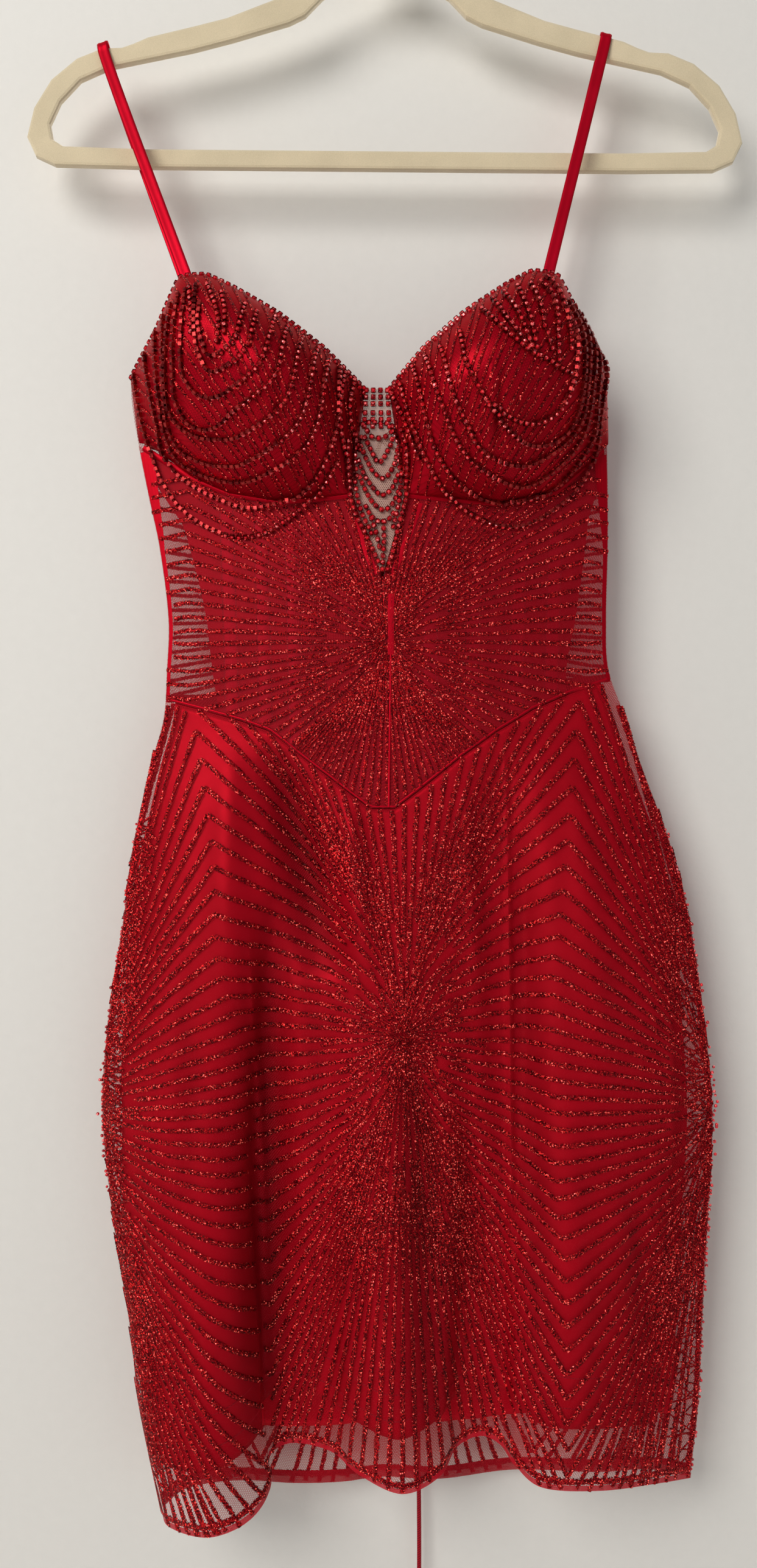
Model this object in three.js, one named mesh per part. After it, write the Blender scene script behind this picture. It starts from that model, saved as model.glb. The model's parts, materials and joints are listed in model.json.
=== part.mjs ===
// Beaded mini dress on a flat velvet hanger, in millimetres, +Z up, front towards -Y.
// The origin is the inside of the hook's crown, where a rail holds the hanger.
// Left and right are the sides seen from the front: left is -X.
import * as THREE from "three";

// ---- driving dimensions ----
const clothWall = 1.0; // net and satin panels
const cupWall = 2.0; // moulded, padded cups
const seamGap = 0.4; // between neighbouring pieces
const cupSeamGap = 1.3; // between a cup's wire line and the net below it
const liningGap = 0.6; // between the net and the lining inside it
const strapWidth = 6.6;
const hangerThick = 6;
const hangerTilt = -0.5; // degrees, the right arm hangs lower
const neckTopZ = -88; // top of the hanger's neck, where the hook's stem enters
const hookWire = 3.6;
const hookRadius = 20; // centre line of the hook's round
const laceDiameter = 2.8;
const loopDiameter = 2.2;
const laceLevels = 6;
const laceTopZ = -396;
const lacePitch = 30;

// Sections of the dress from underarm to hem: the side seams, and how far the cloth stands out in front and behind.
const sections = [
  { z: -350, left: -160, right: 136, front: 16, back: 11 },
  { z: -376, left: -159, right: 137, front: 17, back: 12 },
  { z: -407, left: -154, right: 137.5, front: 16, back: 13 },
  { z: -437, left: -148, right: 138, front: 16, back: 13 },
  { z: -468, left: -141.5, right: 138, front: 15, back: 13 },
  { z: -513, left: -136, right: 137, front: 15, back: 12 },
  { z: -544, left: -137, right: 138.5, front: 15, back: 12 },
  { z: -574, left: -139, right: 149, front: 16, back: 13 },
  { z: -604, left: -147, right: 159, front: 18, back: 14 },
  { z: -650, left: -157, right: 176, front: 22, back: 17 },
  { z: -696, left: -163, right: 188, front: 24, back: 19 },
  { z: -756, left: -172, right: 197, front: 25, back: 20 },
  { z: -817, left: -176, right: 203, front: 25, back: 20 },
  { z: -878, left: -170, right: 200.5, front: 25, back: 20 },
  { z: -939, left: -160, right: 197, front: 24, back: 19 },
  { z: -1000, left: -152, right: 194, front: 24, back: 18 },
  { z: -1070, left: -136, right: 186, front: 24, back: 18 },
];

// The pointed waist seam, by the share of the front's width.
const waistSeam = [
  { across: 0, z: -563 },
  { across: 0.082, z: -569 },
  { across: 0.17, z: -576 },
  { across: 0.236, z: -582.5 },
  { across: 0.27, z: -589.5 },
  { across: 0.363, z: -610 },
  { across: 0.445, z: -630 },
  { across: 0.49, z: -630 },
  { across: 0.55, z: -616.5 },
  { across: 0.63, z: -598.5 },
  { across: 0.713, z: -582.5 },
  { across: 0.8, z: -569 },
  { across: 0.893, z: -559 },
  { across: 1, z: -550 },
];

// Top edge of the net bodice: it follows the cups' wire line and dips round the centre insert.
const bodiceTop = [
  { across: 0, z: -404 },
  { across: 0.106, z: -427 },
  { across: 0.18, z: -437 },
  { across: 0.283, z: -442.5 },
  { across: 0.375, z: -441 },
  { across: 0.443, z: -439 },
  { across: 0.4916, z: -491 },
  { across: 0.557, z: -439 },
  { across: 0.64, z: -441 },
  { across: 0.761, z: -443.5 },
  { across: 0.884, z: -435 },
  { across: 0.96, z: -416 },
  { across: 1, z: -404 },
];

// Folds of the front skirt from the left seam to the right one: where each line starts along the waist
// and where it ends at the hem.
const frontFolds = [
  { name: "left seam", waist: 0, hemX: -138.5, hemY: -6, hemZ: -1063 },
  { name: "left roll, outer side", waist: 0.06, hemX: -131, hemY: -26, hemZ: -1062 },
  { name: "left roll, crest", waist: 0.12, hemX: -104, hemY: -46, hemZ: -1056 },
  { name: "left roll, inner side", waist: 0.19, hemX: -80, hemY: -42, hemZ: -1048 },
  { name: "left roll, edge", waist: 0.25, hemX: -70, hemY: -28, hemZ: -1038 },
  { name: "left tuck", waist: 0.29, hemX: -72, hemY: -14, hemZ: -1028 },
  { name: "left valley", waist: 0.327, hemX: -57, hemY: -8, hemZ: -1022 },
  { name: "middle roll, foot", waist: 0.385, hemX: -34, hemY: -11, hemZ: -1025 },
  { name: "middle roll, left side", waist: 0.43, hemX: -17, hemY: -25, hemZ: -1031 },
  { name: "middle roll, crest", waist: 0.5, hemX: 9, hemY: -35, hemZ: -1037 },
  { name: "middle roll, right side", waist: 0.58, hemX: 32, hemY: -27, hemZ: -1031 },
  { name: "right valley, start", waist: 0.65, hemX: 43, hemY: -12, hemZ: -1022 },
  { name: "right valley", waist: 0.6965, hemX: 58, hemY: -8, hemZ: -1017 },
  { name: "crease, foot", waist: 0.72, hemX: 70, hemY: -13, hemZ: -1020 },
  { name: "crease", waist: 0.745, hemX: 77, hemY: -25, hemZ: -1025 },
  { name: "right roll, crest", waist: 0.79, hemX: 92, hemY: -37, hemZ: -1032 },
  { name: "right roll, slope", waist: 0.86, hemX: 128, hemY: -30, hemZ: -1038 },
  { name: "right roll, outer side", waist: 0.94, hemX: 165, hemY: -14, hemZ: -1043 },
  { name: "right seam", waist: 1, hemX: 189, hemY: -1, hemZ: -1047 },
];

// Folds of the back skirt, from the same left seam to the same right one.
const backFolds = [
  { name: "left seam", waist: 0, hemX: -138.5, hemY: -6, hemZ: -1063 },
  { name: "left roll, outer side", waist: 0.07, hemX: -126, hemY: 10, hemZ: -1061 },
  { name: "left roll, crest", waist: 0.16, hemX: -96, hemY: 19, hemZ: -1061 },
  { name: "left valley", waist: 0.28, hemX: -58, hemY: 9, hemZ: -1057 },
  { name: "middle roll, left side", waist: 0.37, hemX: -28, hemY: 14, hemZ: -1059 },
  { name: "middle roll, crest", waist: 0.46, hemX: -2, hemY: 23, hemZ: -1061 },
  { name: "middle valley", waist: 0.56, hemX: 34, hemY: 12, hemZ: -1056 },
  { name: "right roll, crest", waist: 0.7, hemX: 82, hemY: 24, hemZ: -1057 },
  { name: "right valley", waist: 0.84, hemX: 132, hemY: 9, hemZ: -1050 },
  { name: "right roll, small", waist: 0.93, hemX: 166, hemY: 12, hemZ: -1050 },
  { name: "right seam", waist: 1, hemX: 189, hemY: -1, hemZ: -1047 },
];

// Cups, from the centre insert (along 0) to the side seam (along 1): the top edge, where the same line
// ends on the wire line below, and how far the top edge stands off the body of the dress.
const leftCup = [
  { along: 0, topX: -14, topZ: -374, lowX: -22, stand: 0 },
  { along: 0.2, topX: -38, topZ: -353, lowX: -40, stand: 8 },
  { along: 0.4, topX: -64, topZ: -335.5, lowX: -66, stand: 16 },
  { along: 0.58, topX: -92, topZ: -320, lowX: -92, stand: 21 },
  { along: 0.66, topX: -107, topZ: -312.5, lowX: -104, stand: 22 },
  { along: 0.72, topX: -123, topZ: -312.5, lowX: -116, stand: 22 },
  { along: 0.86, topX: -140, topZ: -340, lowX: -136, stand: 12 },
  { along: 1, topX: -158.5, topZ: -362, lowX: -153.5, stand: 0 },
];
const rightCup = [
  { along: 0, topX: 2, topZ: -374, lowX: 12.5, stand: 0 },
  { along: 0.2, topX: 22, topZ: -353, lowX: 33, stand: 8 },
  { along: 0.4, topX: 45, topZ: -335, lowX: 58, stand: 16 },
  { along: 0.58, topX: 70, topZ: -319, lowX: 80, stand: 21 },
  { along: 0.66, topX: 86, topZ: -310, lowX: 93, stand: 22 },
  { along: 0.72, topX: 101, topZ: -311, lowX: 105, stand: 22 },
  { along: 0.86, topX: 119, topZ: -335, lowX: 122, stand: 12 },
  { along: 1, topX: 136, topZ: -356, lowX: 137.5, stand: 0 },
];
const cupDepth = 47; // how far the dome stands out past a flat cup
const wireZ = -436; // mean height of the wire lines

// The sheer centre insert: its seams to the cups above the wire line and to the net below it, and its rows.
const insertEdges = [
  { z: -374, left: -14, right: 2 },
  { z: -439, left: -21, right: 11.5 },
  { z: -466, left: -10.6, right: 4.4 },
  { z: -484, left: -5.1, right: -0.9 },
];
const insertRows = [-374, -390, -407, -423, -439, -452, -466, -475, -484];
const insertGap = 0.6;

// Straps: where each leaves its cup, lies over the hanger's arm and meets the top of the back.
const straps = {
  left: { cup: [-117.5, -29.5, -318], arm: [-176.5, 0, -153.9], back: [-112, 5.1, -381] },
  right: { cup: [95, -29.3, -316], arm: [136.5, 0, -148.3], back: [90, 5.1, -379] },
};

// Half of the hanger's outline, from the neck round the shoulder to the middle of the bar, and its opening.
const hangerOuter = [
  [11, -88], [13, -97], [26, -109], [65, -125.5], [99, -139], [118, -144], [148, -151.5],
  [157, -155.5], [164, -158], [176, -158.5], [192, -165], [208, -178.5], [218.5, -196], [222.7, -214],
  [217, -226], [205, -231.5], [150, -232.5],
];
const hangerInner = [
  [18, -113.5], [39, -125.5], [50, -137], [60, -142], [96, -153], [120, -159.4], [172, -170.5],
  [189.6, -178.5], [202, -192], [208.3, -206], [206.5, -215.5], [200, -219.6], [148, -221],
];

// The tie at the foot of the lace, and the two tails below it: the points of each one's middle line.
const tiePlace = [4.4, 18.7, -569];
const tieSize = [6.4, 4.2, 5.4];
const longTail = [
  [7, 18.7, -574.3], [7.6, 18.6, -600], [8.6, 20.2, -640], [10, 23.2, -700], [11.6, 25.5, -760], [13.6, 26, -820],
  [16, 26, -880], [18, 26.5, -940], [20, 27.5, -1000], [21, 28, -1060], [21.3, 27, -1110], [21, 26, -1150],
];
const shortTail = [
  [1.8, 18.7, -574.3], [0.4, 18.6, -600], [-1.6, 20.2, -640], [-3, 23.2, -700], [-3.4, 25.5, -760], [-3, 26.2, -820],
  [-2.2, 26.5, -880], [-1, 27, -940], [0.5, 28, -1000], [1, 28.6, -1030],
];

// ---- helpers ----
const group = new THREE.Group();

function cloth(colour, roughness = 0.6, metalness = 0) {
  return new THREE.MeshStandardMaterial({ color: colour, roughness, metalness });
}

function add(name, geometry, material) {
  const mesh = new THREE.Mesh(geometry, material);
  mesh.name = name;
  group.add(mesh);
  return mesh;
}

const mix = (a, b, t) => a + (b - a) * t;

// The value of a column at a place along a table's key column, on straight runs between its rows.
function straight(table, key, column, place) {
  const step = Math.sign(table[1][key] - table[0][key]);
  let i = 0;
  while (i < table.length - 2 && (table[i + 1][key] - place) * step < 0) i++;
  const [a, b] = [table[i], table[i + 1]];
  const t = THREE.MathUtils.clamp((place - a[key]) / (b[key] - a[key]), 0, 1);
  return mix(a[column], b[column], t);
}

// The same on a smooth curve through the rows.
function smooth(table, key, column, place) {
  const step = Math.sign(table[1][key] - table[0][key]);
  let i = 0;
  while (i < table.length - 2 && (table[i + 1][key] - place) * step < 0) i++;
  const [a, b] = [table[i], table[i + 1]];
  const [before, after] = [table[i - 1] ?? a, table[i + 2] ?? b];
  const width = b[key] - a[key];
  const t = THREE.MathUtils.clamp((place - a[key]) / width, 0, 1);
  const slopeA = ((b[column] - before[column]) / (b[key] - before[key])) * width;
  const slopeB = ((after[column] - a[column]) / (after[key] - a[key])) * width;
  const t2 = t * t;
  const t3 = t2 * t;
  return (
    a[column] * (2 * t3 - 3 * t2 + 1) +
    slopeA * (t3 - 2 * t2 + t) +
    b[column] * (3 * t2 - 2 * t3) +
    slopeB * (t3 - t2)
  );
}

const leftAt = (z) => smooth(sections, "z", "left", z);
const rightAt = (z) => smooth(sections, "z", "right", z);
const crown = (across) => 1 - (2 * across - 1) ** 2; // 0 at the seams, 1 in the middle
const halfSeam = (clothWall + seamGap) / 2;

// A point of the plain front or back at a share of the width and a height. facing is -1 in front, 1 behind.
function bodyPoint(across, z, facing) {
  const depth = smooth(sections, "z", facing < 0 ? "front" : "back", z);
  const x = mix(leftAt(z), rightAt(z), across);
  return new THREE.Vector3(x, facing * (depth * crown(across) + halfSeam), z);
}

const acrossAt = (x, z) => (x - leftAt(z)) / (rightAt(z) - leftAt(z));

// Evenly spaced places from 0 to 1.
const places = (count) => Array.from({ length: count + 1 }, (_, i) => i / count);

// A closed wall of cloth. at(u, v) is the middle of the cloth; shift moves the wall out (or in, below 0).
// A square rim is cut straight from front to back, so that a steep edge keeps off its neighbours.
function clothPiece(at, us, vs, facing, wall = clothWall, shift = 0, squareRim = false) {
  const reach = 0.003;
  const normalAt = (u, v) => {
    const du = at(Math.min(u + reach, 1), v).sub(at(Math.max(u - reach, 0), v));
    const dv = at(u, Math.min(v + reach, 1)).sub(at(u, Math.max(v - reach, 0)));
    return du.cross(dv).normalize();
  };
  const sign = Math.sign(normalAt(0.5, 0.5).y) * facing;
  const columns = us.length;
  const rows = vs.length;
  const positions = [];
  for (const side of [1, -1])
    for (const v of vs)
      for (const u of us) {
        const away = shift + (side * wall) / 2;
        const onRim = u === us[0] || u === us.at(-1) || v === vs[0] || v === vs.at(-1);
        const out = squareRim && onRim ? new THREE.Vector3(0, facing, 0) : normalAt(u, v).multiplyScalar(sign);
        positions.push(...at(u, v).addScaledVector(out, away));
      }
  const index = [];
  const quad = (a, b, c, d) => index.push(a, b, c, a, c, d);
  const spot = (side, j, i) => side * columns * rows + j * columns + i;
  for (let j = 0; j < rows - 1; j++)
    for (let i = 0; i < columns - 1; i++) {
      quad(spot(0, j, i), spot(0, j + 1, i), spot(0, j + 1, i + 1), spot(0, j, i + 1));
      quad(spot(1, j, i), spot(1, j, i + 1), spot(1, j + 1, i + 1), spot(1, j + 1, i));
    }
  const rim = [];
  for (let i = 0; i < columns; i++) rim.push([0, i]);
  for (let j = 1; j < rows; j++) rim.push([j, columns - 1]);
  for (let i = columns - 2; i >= 0; i--) rim.push([rows - 1, i]);
  for (let j = rows - 2; j > 0; j--) rim.push([j, 0]);
  rim.forEach(([j, i], k) => {
    const [nextJ, nextI] = rim[(k + 1) % rim.length];
    quad(spot(0, j, i), spot(0, nextJ, nextI), spot(1, nextJ, nextI), spot(1, j, i));
  });
  return closedGeometry(positions, index);
}

// A geometry from shared points, turned so that its faces look out.
function closedGeometry(positions, index) {
  let volume = 0;
  const corner = [new THREE.Vector3(), new THREE.Vector3(), new THREE.Vector3()];
  for (let i = 0; i < index.length; i += 3) {
    corner.forEach((p, k) => p.fromArray(positions, index[i + k] * 3));
    volume += corner[0].dot(corner[1].clone().cross(corner[2]));
  }
  if (volume < 0)
    for (let i = 0; i < index.length; i += 3) [index[i + 1], index[i + 2]] = [index[i + 2], index[i + 1]];
  const geometry = new THREE.BufferGeometry();
  geometry.setAttribute("position", new THREE.Float32BufferAttribute(positions, 3));
  geometry.setIndex(index);
  return geometry;
}

const vectors = (points) => points.map((p) => new THREE.Vector3(...p));

// A round cord with one step at each of its points, or evenly spaced steps.
function tube(points, diameter, sides, steps) {
  const section = new THREE.Shape();
  for (let i = 0; i < sides; i++) {
    const turn = (i / sides) * Math.PI * 2;
    section[i ? "lineTo" : "moveTo"]((Math.cos(turn) * diameter) / 2, (Math.sin(turn) * diameter) / 2);
  }
  const extrudePath = new THREE.CatmullRomCurve3(vectors(points), false, "centripetal");
  if (!steps) extrudePath.getUtoTmapping = (u) => u;
  return new THREE.ExtrudeGeometry(section, {
    steps: steps ?? points.length - 1,
    bevelEnabled: false,
    extrudePath,
  });
}

function knot(radiusX, radiusY, radiusZ, sides, rings) {
  const profile = new THREE.Path().absarc(0, 0, 1, -Math.PI / 2, Math.PI / 2).getPoints(rings);
  profile[0].x = 0;
  profile[profile.length - 1].x = 0;
  const geometry = new THREE.LatheGeometry(profile, sides);
  geometry.rotateX(Math.PI / 2);
  geometry.scale(radiusX, radiusY, radiusZ);
  return geometry;
}

// ---- hanger ----
function hangerBody() {
  const loop = (half) => {
    const other = half.map(([x, z]) => [-x, z]).reverse();
    return [...half, ...other].map(([x, z]) => new THREE.Vector2(x, z)).reverse();
  };
  const bevel = 1.7;
  const shape = new THREE.Shape(loop(hangerOuter));
  shape.holes.push(new THREE.Path(loop(hangerInner)));
  const geometry = new THREE.ExtrudeGeometry(shape, {
    depth: hangerThick - 2 * bevel,
    bevelThickness: bevel,
    bevelSize: bevel,
    bevelOffset: -bevel,
    bevelSegments: 2,
  });
  geometry.translate(0, -neckTopZ, -hangerThick / 2 + bevel);
  geometry.rotateX(Math.PI / 2);
  const mesh = add("hanger", geometry, cloth(0xd4c8a5, 0.95));
  mesh.position.z = neckTopZ;
  mesh.rotation.y = THREE.MathUtils.degToRad(-hangerTilt);
}

function hangerHook() {
  const middleZ = hookWire / 2 - hookRadius;
  const points = [[0, 0, neckTopZ + 0.4], [0, 0, -72], [0, 0, -56], [5, 0, -45]];
  for (let turn = -50; turn <= 200; turn += 25) {
    const angle = THREE.MathUtils.degToRad(turn);
    points.push([hookRadius * Math.cos(angle), 0, middleZ + hookRadius * Math.sin(angle)]);
  }
  add("hanger_hook", tube(points, hookWire, 10, 34), cloth(0xb8b8bc, 0.3, 1));
}

// ---- straps: each one runs from its cup up, over the arm, and down to the back ----
function strap(name, { cup, arm, back }) {
  const [armX, , armZ] = arm;
  const lean = Math.sign(armX);
  const over = [
    [armX - lean * 1.2, -4.1, armZ - 7],
    [armX - lean * 0.3, -3.7, armZ - 2.4],
    [armX, -2.1, armZ - 0.3],
    [armX, 2.1, armZ - 0.3],
    [armX - lean * 0.3, 3.7, armZ - 2.4],
    [armX - lean * 1.2, 4.1, armZ - 7],
  ];
  const line = new THREE.CatmullRomCurve3(vectors([cup, ...over, back]), false, "centripetal");
  const rise = (armZ - cup[2]) / Math.hypot(armX - cup[0], armZ - cup[2]);
  const slope = (armX - cup[0]) / Math.hypot(armX - cup[0], armZ - cup[2]);
  const acrossStrap = new THREE.Vector3(rise, 0, -slope);
  const at = (u, v) => line.getPoint(v).addScaledVector(acrossStrap, (u - 0.5) * strapWidth);
  add(name, clothPiece(at, [0, 1], places(28), -1), cloth(0xbe1023, 0.45));
}

// ---- cups ----
function cup(name, table) {
  const edge = (column, u) => straight(table, "along", column, u);
  const at = (u, v) => {
    const x = mix(edge("topX", u), edge("lowX", u), v);
    const lowZ = straight(bodiceTop, "across", "z", acrossAt(edge("lowX", u), wireZ)) + cupSeamGap;
    const z = mix(edge("topZ", u), lowZ, v);
    const p = bodyPoint(acrossAt(x, z), z, -1);
    const dome = Math.sin(Math.PI * u ** 0.95) ** 0.8 * Math.sin(Math.PI * v ** 0.85) ** 0.75;
    p.y -= smooth(table, "along", "stand", u) * (1 - v) ** 1.6 + cupDepth * dome;
    return p;
  };
  const us = [0, 0.06, 0.13, 0.2, 0.3, 0.4, 0.49, 0.58, 0.66, 0.72, 0.79, 0.86, 0.92, 0.97, 1];
  const vs = [0, 0.08, 0.2, 0.33, 0.46, 0.6, 0.73, 0.85, 0.94, 1];
  add(name, clothPiece(at, us, vs, -1, cupWall, (cupWall - clothWall) / 2, true), cloth(0xa30d1c));
}

// ---- bodice ----
const frontColumns = places(36);
const backColumns = places(24);

// A column of a fold table at a share u of the way from the left seam to the right one.
function foldColumn(folds, column, u) {
  const table = folds.map((fold, i) => ({ ...fold, place: i / (folds.length - 1) }));
  return smooth(table, "place", column, u);
}

const waistZ = (across) => straight(waistSeam, "across", "z", across);

// Lines of the net from the cups down to the waist seam: their places along the top edge. At the waist
// each one meets a line of the skirt.
const bodiceColumns = [
  0, 0.035, 0.07, 0.106, 0.143, 0.18, 0.215, 0.25, 0.283, 0.31, 0.335, 0.36, 0.385, 0.41, 0.443, 0.468, 0.4916,
  0.525, 0.557, 0.59, 0.62, 0.645, 0.67, 0.69, 0.71, 0.725, 0.74, 0.755, 0.77, 0.79, 0.815, 0.845, 0.875, 0.905,
  0.94, 0.97, 1,
].map((top, line) => ({ line: line / 36, top }));

function bodiceFrontAt(line, v) {
  const top = straight(bodiceColumns, "line", "top", line);
  const waist = foldColumn(frontFolds, "waist", line);
  const z = mix(straight(bodiceTop, "across", "z", top), waistZ(waist) + seamGap / 2, v);
  return bodyPoint(mix(top, waist, v), z, -1);
}

const bodiceRows = [0, 0.15, 0.32, 0.5, 0.67, 0.84, 1];

function bodice() {
  add("bodice_front", clothPiece(bodiceFrontAt, frontColumns, bodiceRows, -1), cloth(0xb01020));
  const liningAt = (u, v) => {
    const first = mix(0.02, 0.085, v);
    const last = mix(0.985, 0.865, v);
    return bodiceFrontAt(mix(first, last, u), mix(0.02, 0.985, v));
  };
  add(
    "bodice_lining",
    clothPiece(liningAt, frontColumns, bodiceRows, -1, clothWall, -(clothWall + liningGap)),
    cloth(0x8f0c1a),
  );
}

const openingMiddle = (z) => (leftAt(z) + rightAt(z)) / 2;
const openingHalf = (z) => THREE.MathUtils.mapLinear(z, -366, -557, 17, 10);
const backWaistZ = (across) => mix(-563, -550, across) - 5 * crown(across);

function bodiceBack(name, side) {
  const at = (u, v) => {
    const topZ = -362 - 20 * Math.sin((u * Math.PI) / 2) + (side > 0 ? 4 * (1 - u) : 0);
    const lowZ = mix(backWaistZ(side < 0 ? 0 : 1), backWaistZ(0.5), u) + seamGap / 2;
    const z = mix(topZ, lowZ, v);
    const seam = side < 0 ? leftAt(z) : rightAt(z);
    const x = mix(seam, openingMiddle(z) + side * openingHalf(z), u);
    return bodyPoint(acrossAt(x, z), z, 1);
  };
  const rows = [0, 0.12, 0.25, 0.4, 0.55, 0.7, 0.85, 1];
  add(name, clothPiece(at, places(9), rows, 1), cloth(0xb01020));
}

function frontInsert() {
  const [top, low] = [insertRows[0], insertRows.at(-1)];
  const at = (u, v) => {
    const z = mix(top, low, v);
    const left = straight(insertEdges, "z", "left", z) + insertGap;
    const right = straight(insertEdges, "z", "right", z) - insertGap;
    return bodyPoint(acrossAt(mix(left, right, u), z), z, -1);
  };
  const rows = insertRows.map((z) => (z - top) / (low - top));
  add("front_insert", clothPiece(at, places(4), rows, -1), cloth(0xb9a596, 0.8));
}

// ---- skirt: net over satin, both on the same folds ----
function skirtPoint(folds, facing, u, v) {
  const row = (column) => foldColumn(folds, column, u);
  const waist = row("waist");
  const seamZ = facing < 0 ? waistZ(waist) : backWaistZ(waist) - seamGap / 2;
  const z = mix(seamZ - seamGap / 2, row("hemZ"), v);
  const hemAcross = acrossAt(row("hemX"), row("hemZ"));
  const across = mix(waist, hemAcross, v);
  const plain = bodyPoint(across, z, facing);
  const gather = v ** 0.75; // the folds deepen from the waist down
  const hemY = row("hemY") + facing * halfSeam;
  plain.y = mix(plain.y, hemY, gather * smoothStart(v));
  return plain;
}

const smoothStart = (v) => THREE.MathUtils.smoothstep(v, -0.02, 0.12);

function skirt(name, folds, facing, columns, rows, colour) {
  const at = (u, v) => skirtPoint(folds, facing, u, v);
  add(name, clothPiece(at, columns, rows, facing), cloth(colour));
}

function skirtLining(name, folds, facing, columns, rows, colour) {
  const at = (u, v) => skirtPoint(folds, facing, u, v);
  const inside = -(clothWall + liningGap);
  add(name, clothPiece(at, columns, rows, facing, clothWall, inside), cloth(colour, 0.35));
}

// ---- lace: loops sewn along the back opening, and a cord that crosses through them ----
const levelZ = (level) => laceTopZ - lacePitch * level;
const tapeOut = (z) => bodyPoint(0.5, z, 1).y + clothWall / 2 + loopDiameter / 2 + 0.3;

function loopTape(name, side) {
  const points = [];
  const spotAt = (z, inward) => [openingMiddle(z) + side * (openingHalf(z) - inward), tapeOut(z), z];
  for (let level = 0; level < laceLevels; level++) {
    const z = levelZ(level);
    points.push(spotAt(z + 12, -3), spotAt(z + 6.4, -2.5), spotAt(z + 5, 3), spotAt(z + 2, 8));
    points.push(spotAt(z - 2, 8), spotAt(z - 5, 3), spotAt(z - 6.4, -2.5), spotAt(z - 12, -3));
  }
  add(name, tube(points, loopDiameter, 6), cloth(0xa00e1e));
}

function lacing() {
  const clear = (loopDiameter + laceDiameter) / 2 + 0.35;
  const strand = (start) => {
    const points = [];
    for (let level = 0; level < laceLevels; level++) {
      const side = level % 2 ? -start : start;
      const z = levelZ(level);
      const out = tapeOut(z);
      const spot = (inward, y, drop) => [
        openingMiddle(z) + side * (openingHalf(z) - inward),
        out + y,
        z - drop,
      ];
      const first = level < laceLevels - 1 ? clear : -clear; // the lowest crossing comes out towards the tie
      if (level > 0) points.push(spot(9.5, first, -1.4));
      points.push(spot(7, first, -0.8), spot(3, 0, 0), spot(7, -first, 0.8));
      if (level < laceLevels - 1) {
        points.push(spot(9.5, -first, 1.4));
        const middle = z - lacePitch / 2;
        points.push([openingMiddle(middle), tapeOut(middle) + start * 1.65, middle]);
      }
    }
    const lowZ = levelZ(laceLevels - 1) - 8;
    const side = laceLevels % 2 ? start : -start;
    points.push([openingMiddle(lowZ) + side * 5.5, tapeOut(lowZ) + 2.9, lowZ]);
    points.push([tiePlace[0] + side * 3.2, tiePlace[1], tiePlace[2] + tieSize[2] - 0.3]);
    return points;
  };
  const top = levelZ(0);
  const bridge = [openingMiddle(top), tapeOut(top) + clear, top + 1.5];
  const points = [...strand(-1).reverse(), bridge, ...strand(1)];
  add("lacing", tube(points, laceDiameter, 8), cloth(0x960c1a, 0.4));
}

function tie() {
  const mesh = add("tie_knot", knot(...tieSize, 10, 6), cloth(0x960c1a, 0.4));
  mesh.position.set(...tiePlace);
}

function tail(name, points, steps) {
  add(name, tube(points, laceDiameter, 8, steps), cloth(0x960c1a, 0.4));
  const [x, y, z] = points.at(-1);
  const end = add(name + "_end", knot(2.5, 2.5, 3.4, 8, 5), cloth(0x960c1a, 0.4));
  end.position.set(x, y, z - 3.6);
}

hangerBody();
hangerHook();
strap("strap_left", straps.left);
strap("strap_right", straps.right);
cup("cup_left", leftCup);
cup("cup_right", rightCup);
frontInsert();
bodice();
bodiceBack("bodice_back_left", -1);
bodiceBack("bodice_back_right", 1);

const skirtRows = [0, 0.06, 0.14, 0.25, 0.37, 0.5, 0.63, 0.76, 0.87, 0.925, 1];
skirt("skirt_front", frontFolds, -1, frontColumns, skirtRows, 0xb01020);
skirt("skirt_back", backFolds, 1, backColumns, skirtRows, 0xb01020);
skirtLining("lining_front", frontFolds, -1, frontColumns.slice(2, -2), skirtRows.slice(0, -1), 0xc80e22);
skirtLining("lining_back", backFolds, 1, backColumns.slice(2, -2), skirtRows.slice(0, -1), 0xc80e22);

loopTape("loops_left", -1);
loopTape("loops_right", 1);
lacing();
tie();
tail("tail_long", longTail, 30);
tail("tail_short", shortTail, 22);

export default group;
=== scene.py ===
# Looks of a beaded mini dress on a flat velvet hanger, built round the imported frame.
# Tables are in millimetres; every mesh is in metres, +Z up, front towards -Y.
import json
import math
import random
from functools import lru_cache

import bmesh
import bpy
from mathutils import Matrix, Vector, noise
from mathutils.bvhtree import BVHTree

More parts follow.
